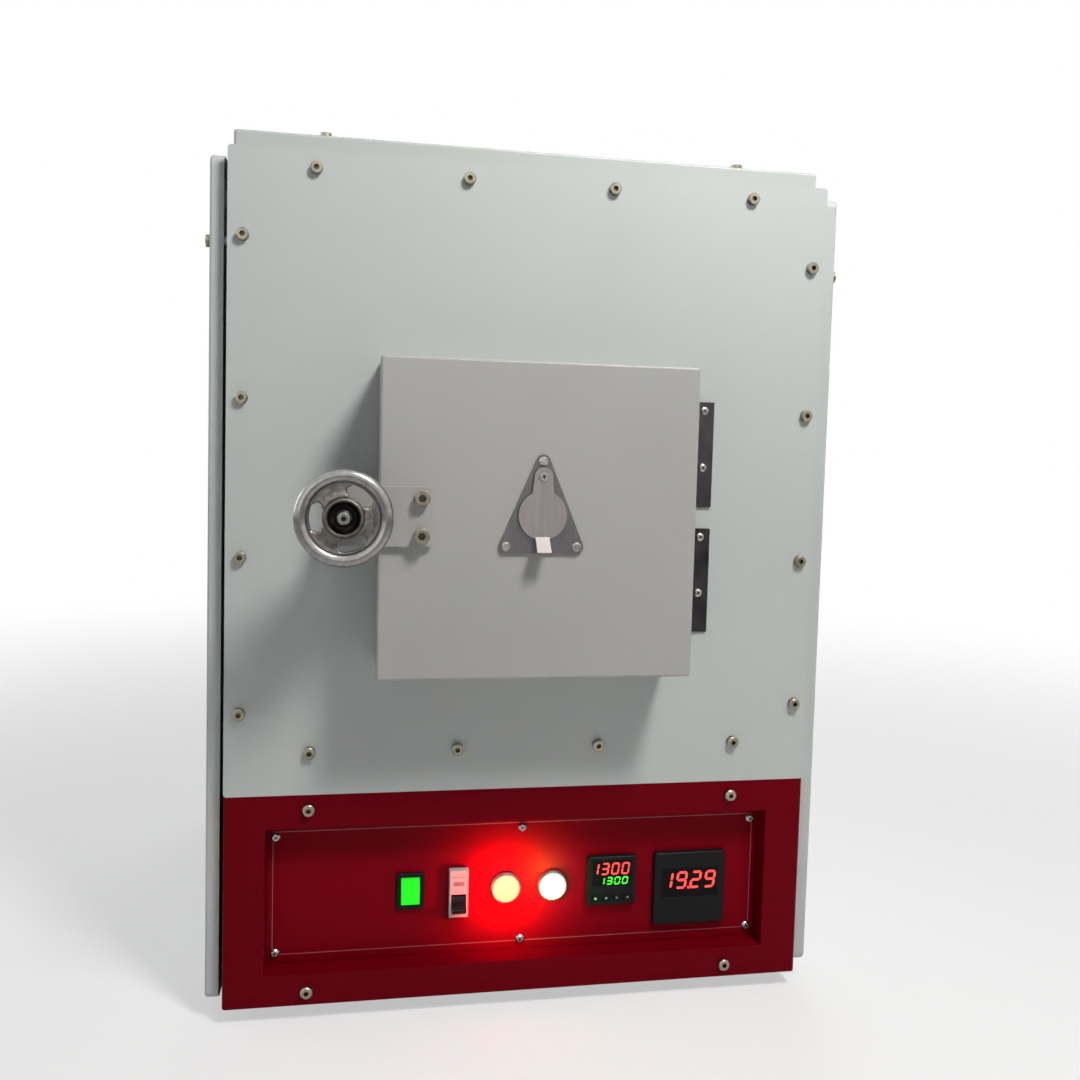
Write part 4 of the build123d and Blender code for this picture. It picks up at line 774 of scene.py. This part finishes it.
def lamp_glow(name, lens, watts, colour):
    """The light that a lit lens throws on the plate round it."""
    low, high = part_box(lens)
    data = bpy.data.lights.new(name, "SPOT")
    data.spot_size = radians(LAMP_CONE)
    data.spot_blend = 1.0
    data.energy = watts
    data.color = colour
    data.shadow_soft_size = LAMP_SIZE
    light = bpy.data.objects.new(name, data)
    light.location = ((low.x + high.x) / 2, low.y - LAMP_AHEAD, (low.z + high.z) / 2)
    light.rotation_euler = (pi / 2, 0, 0)
    light.visible_camera = False
    light.visible_glossy = False
    bpy.context.collection.objects.link(light)
    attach(light, "casing")


# Floor: half its width, its colour, and the share of plain white from near to far
FLOOR_FAR = 14.0
FLOOR_COLOUR = (0.86, 0.86, 0.86, 1)
FLOOR_ROUGHNESS = 0.9
NEAR_WHITE = 0.5
FADE_START = 0.6
FADE_END = 2.4
WHITE = (1, 1, 1, 1)


def make_floor():
    """A pale floor that keeps the object's shadow near it and runs out to white."""
    mesh = bpy.data.meshes.new("floor")
    build = bmesh.new()
    bmesh.ops.create_grid(build, x_segments=8, y_segments=8, size=FLOOR_FAR)
    build.to_mesh(mesh)
    build.free()
    floor = bpy.data.objects.new("floor", mesh)
    bpy.context.collection.objects.link(floor)
    material, tree, shader = new_material("floor")
    shader.inputs["Base Color"].default_value = FLOOR_COLOUR
    shader.inputs["Roughness"].default_value = FLOOR_ROUGHNESS
    place = add(tree, "ShaderNodeTexCoord")
    apart = add(tree, "ShaderNodeVectorMath", operation="LENGTH")
    tree.links.new(place.outputs["Object"], apart.inputs[0])
    far = add(tree, "ShaderNodeMapRange", interpolation_type="SMOOTHSTEP")
    far.inputs["From Min"].default_value = FADE_START
    far.inputs["From Max"].default_value = FADE_END
    tree.links.new(apart.outputs["Value"], far.inputs["Value"])
    white = add(tree, "ShaderNodeEmission", Strength=1.0)
    white.inputs["Color"].default_value = WHITE
    rays = add(tree, "ShaderNodeLightPath")
    far.inputs["To Min"].default_value = NEAR_WHITE
    seen = add(tree, "ShaderNodeMath", operation="MULTIPLY")
    tree.links.new(far.outputs["Result"], seen.inputs[0])
    tree.links.new(rays.outputs["Is Camera Ray"], seen.inputs[1])
    mixer = add(tree, "ShaderNodeMixShader")
    tree.links.new(seen.outputs["Value"], mixer.inputs["Fac"])
    tree.links.new(shader.outputs["BSDF"], mixer.inputs[1])
    tree.links.new(white.outputs["Emission"], mixer.inputs[2])
    out = next(n for n in tree.nodes if n.type == "OUTPUT_MATERIAL")
    tree.links.new(mixer.outputs["Shader"], out.inputs["Surface"])
    mesh.materials.append(material)


SKY_COLOUR = (0.95, 0.97, 1.0, 1)
SKY_STRENGTH = 0.15


def make_world():
    """A soft even sky for the light, white where a camera, gloss or transmission ray sees it."""
    world = bpy.data.worlds.new("sky")
    world.use_nodes = True
    tree = world.node_tree
    tree.nodes.clear()
    out = tree.nodes.new("ShaderNodeOutputWorld")
    soft = add(tree, "ShaderNodeBackground", Strength=SKY_STRENGTH)
    soft.inputs["Color"].default_value = SKY_COLOUR
    white = add(tree, "ShaderNodeBackground", Strength=1.0)
    white.inputs["Color"].default_value = WHITE
    rays = add(tree, "ShaderNodeLightPath")
    mixer = add(tree, "ShaderNodeMixShader")
    seen = add(tree, "ShaderNodeMath", operation="MAXIMUM")
    through = add(tree, "ShaderNodeMath", operation="MAXIMUM")
    tree.links.new(rays.outputs["Is Camera Ray"], seen.inputs[0])
    tree.links.new(rays.outputs["Is Glossy Ray"], seen.inputs[1])
    tree.links.new(seen.outputs["Value"], through.inputs[0])
    tree.links.new(rays.outputs["Is Transmission Ray"], through.inputs[1])
    tree.links.new(through.outputs["Value"], mixer.inputs["Fac"])
    tree.links.new(soft.outputs["Background"], mixer.inputs[1])
    tree.links.new(white.outputs["Background"], mixer.inputs[2])
    tree.links.new(mixer.outputs["Shader"], out.inputs["Surface"])
    bpy.context.scene.world = world


make_floor()
make_world()
for light_row in AREA_LIGHTS:
    area_light(*light_row)
for lamp_row in LAMPS:
    lamp_glow(*lamp_row)
bpy.context.scene.view_settings.view_transform = "Standard"
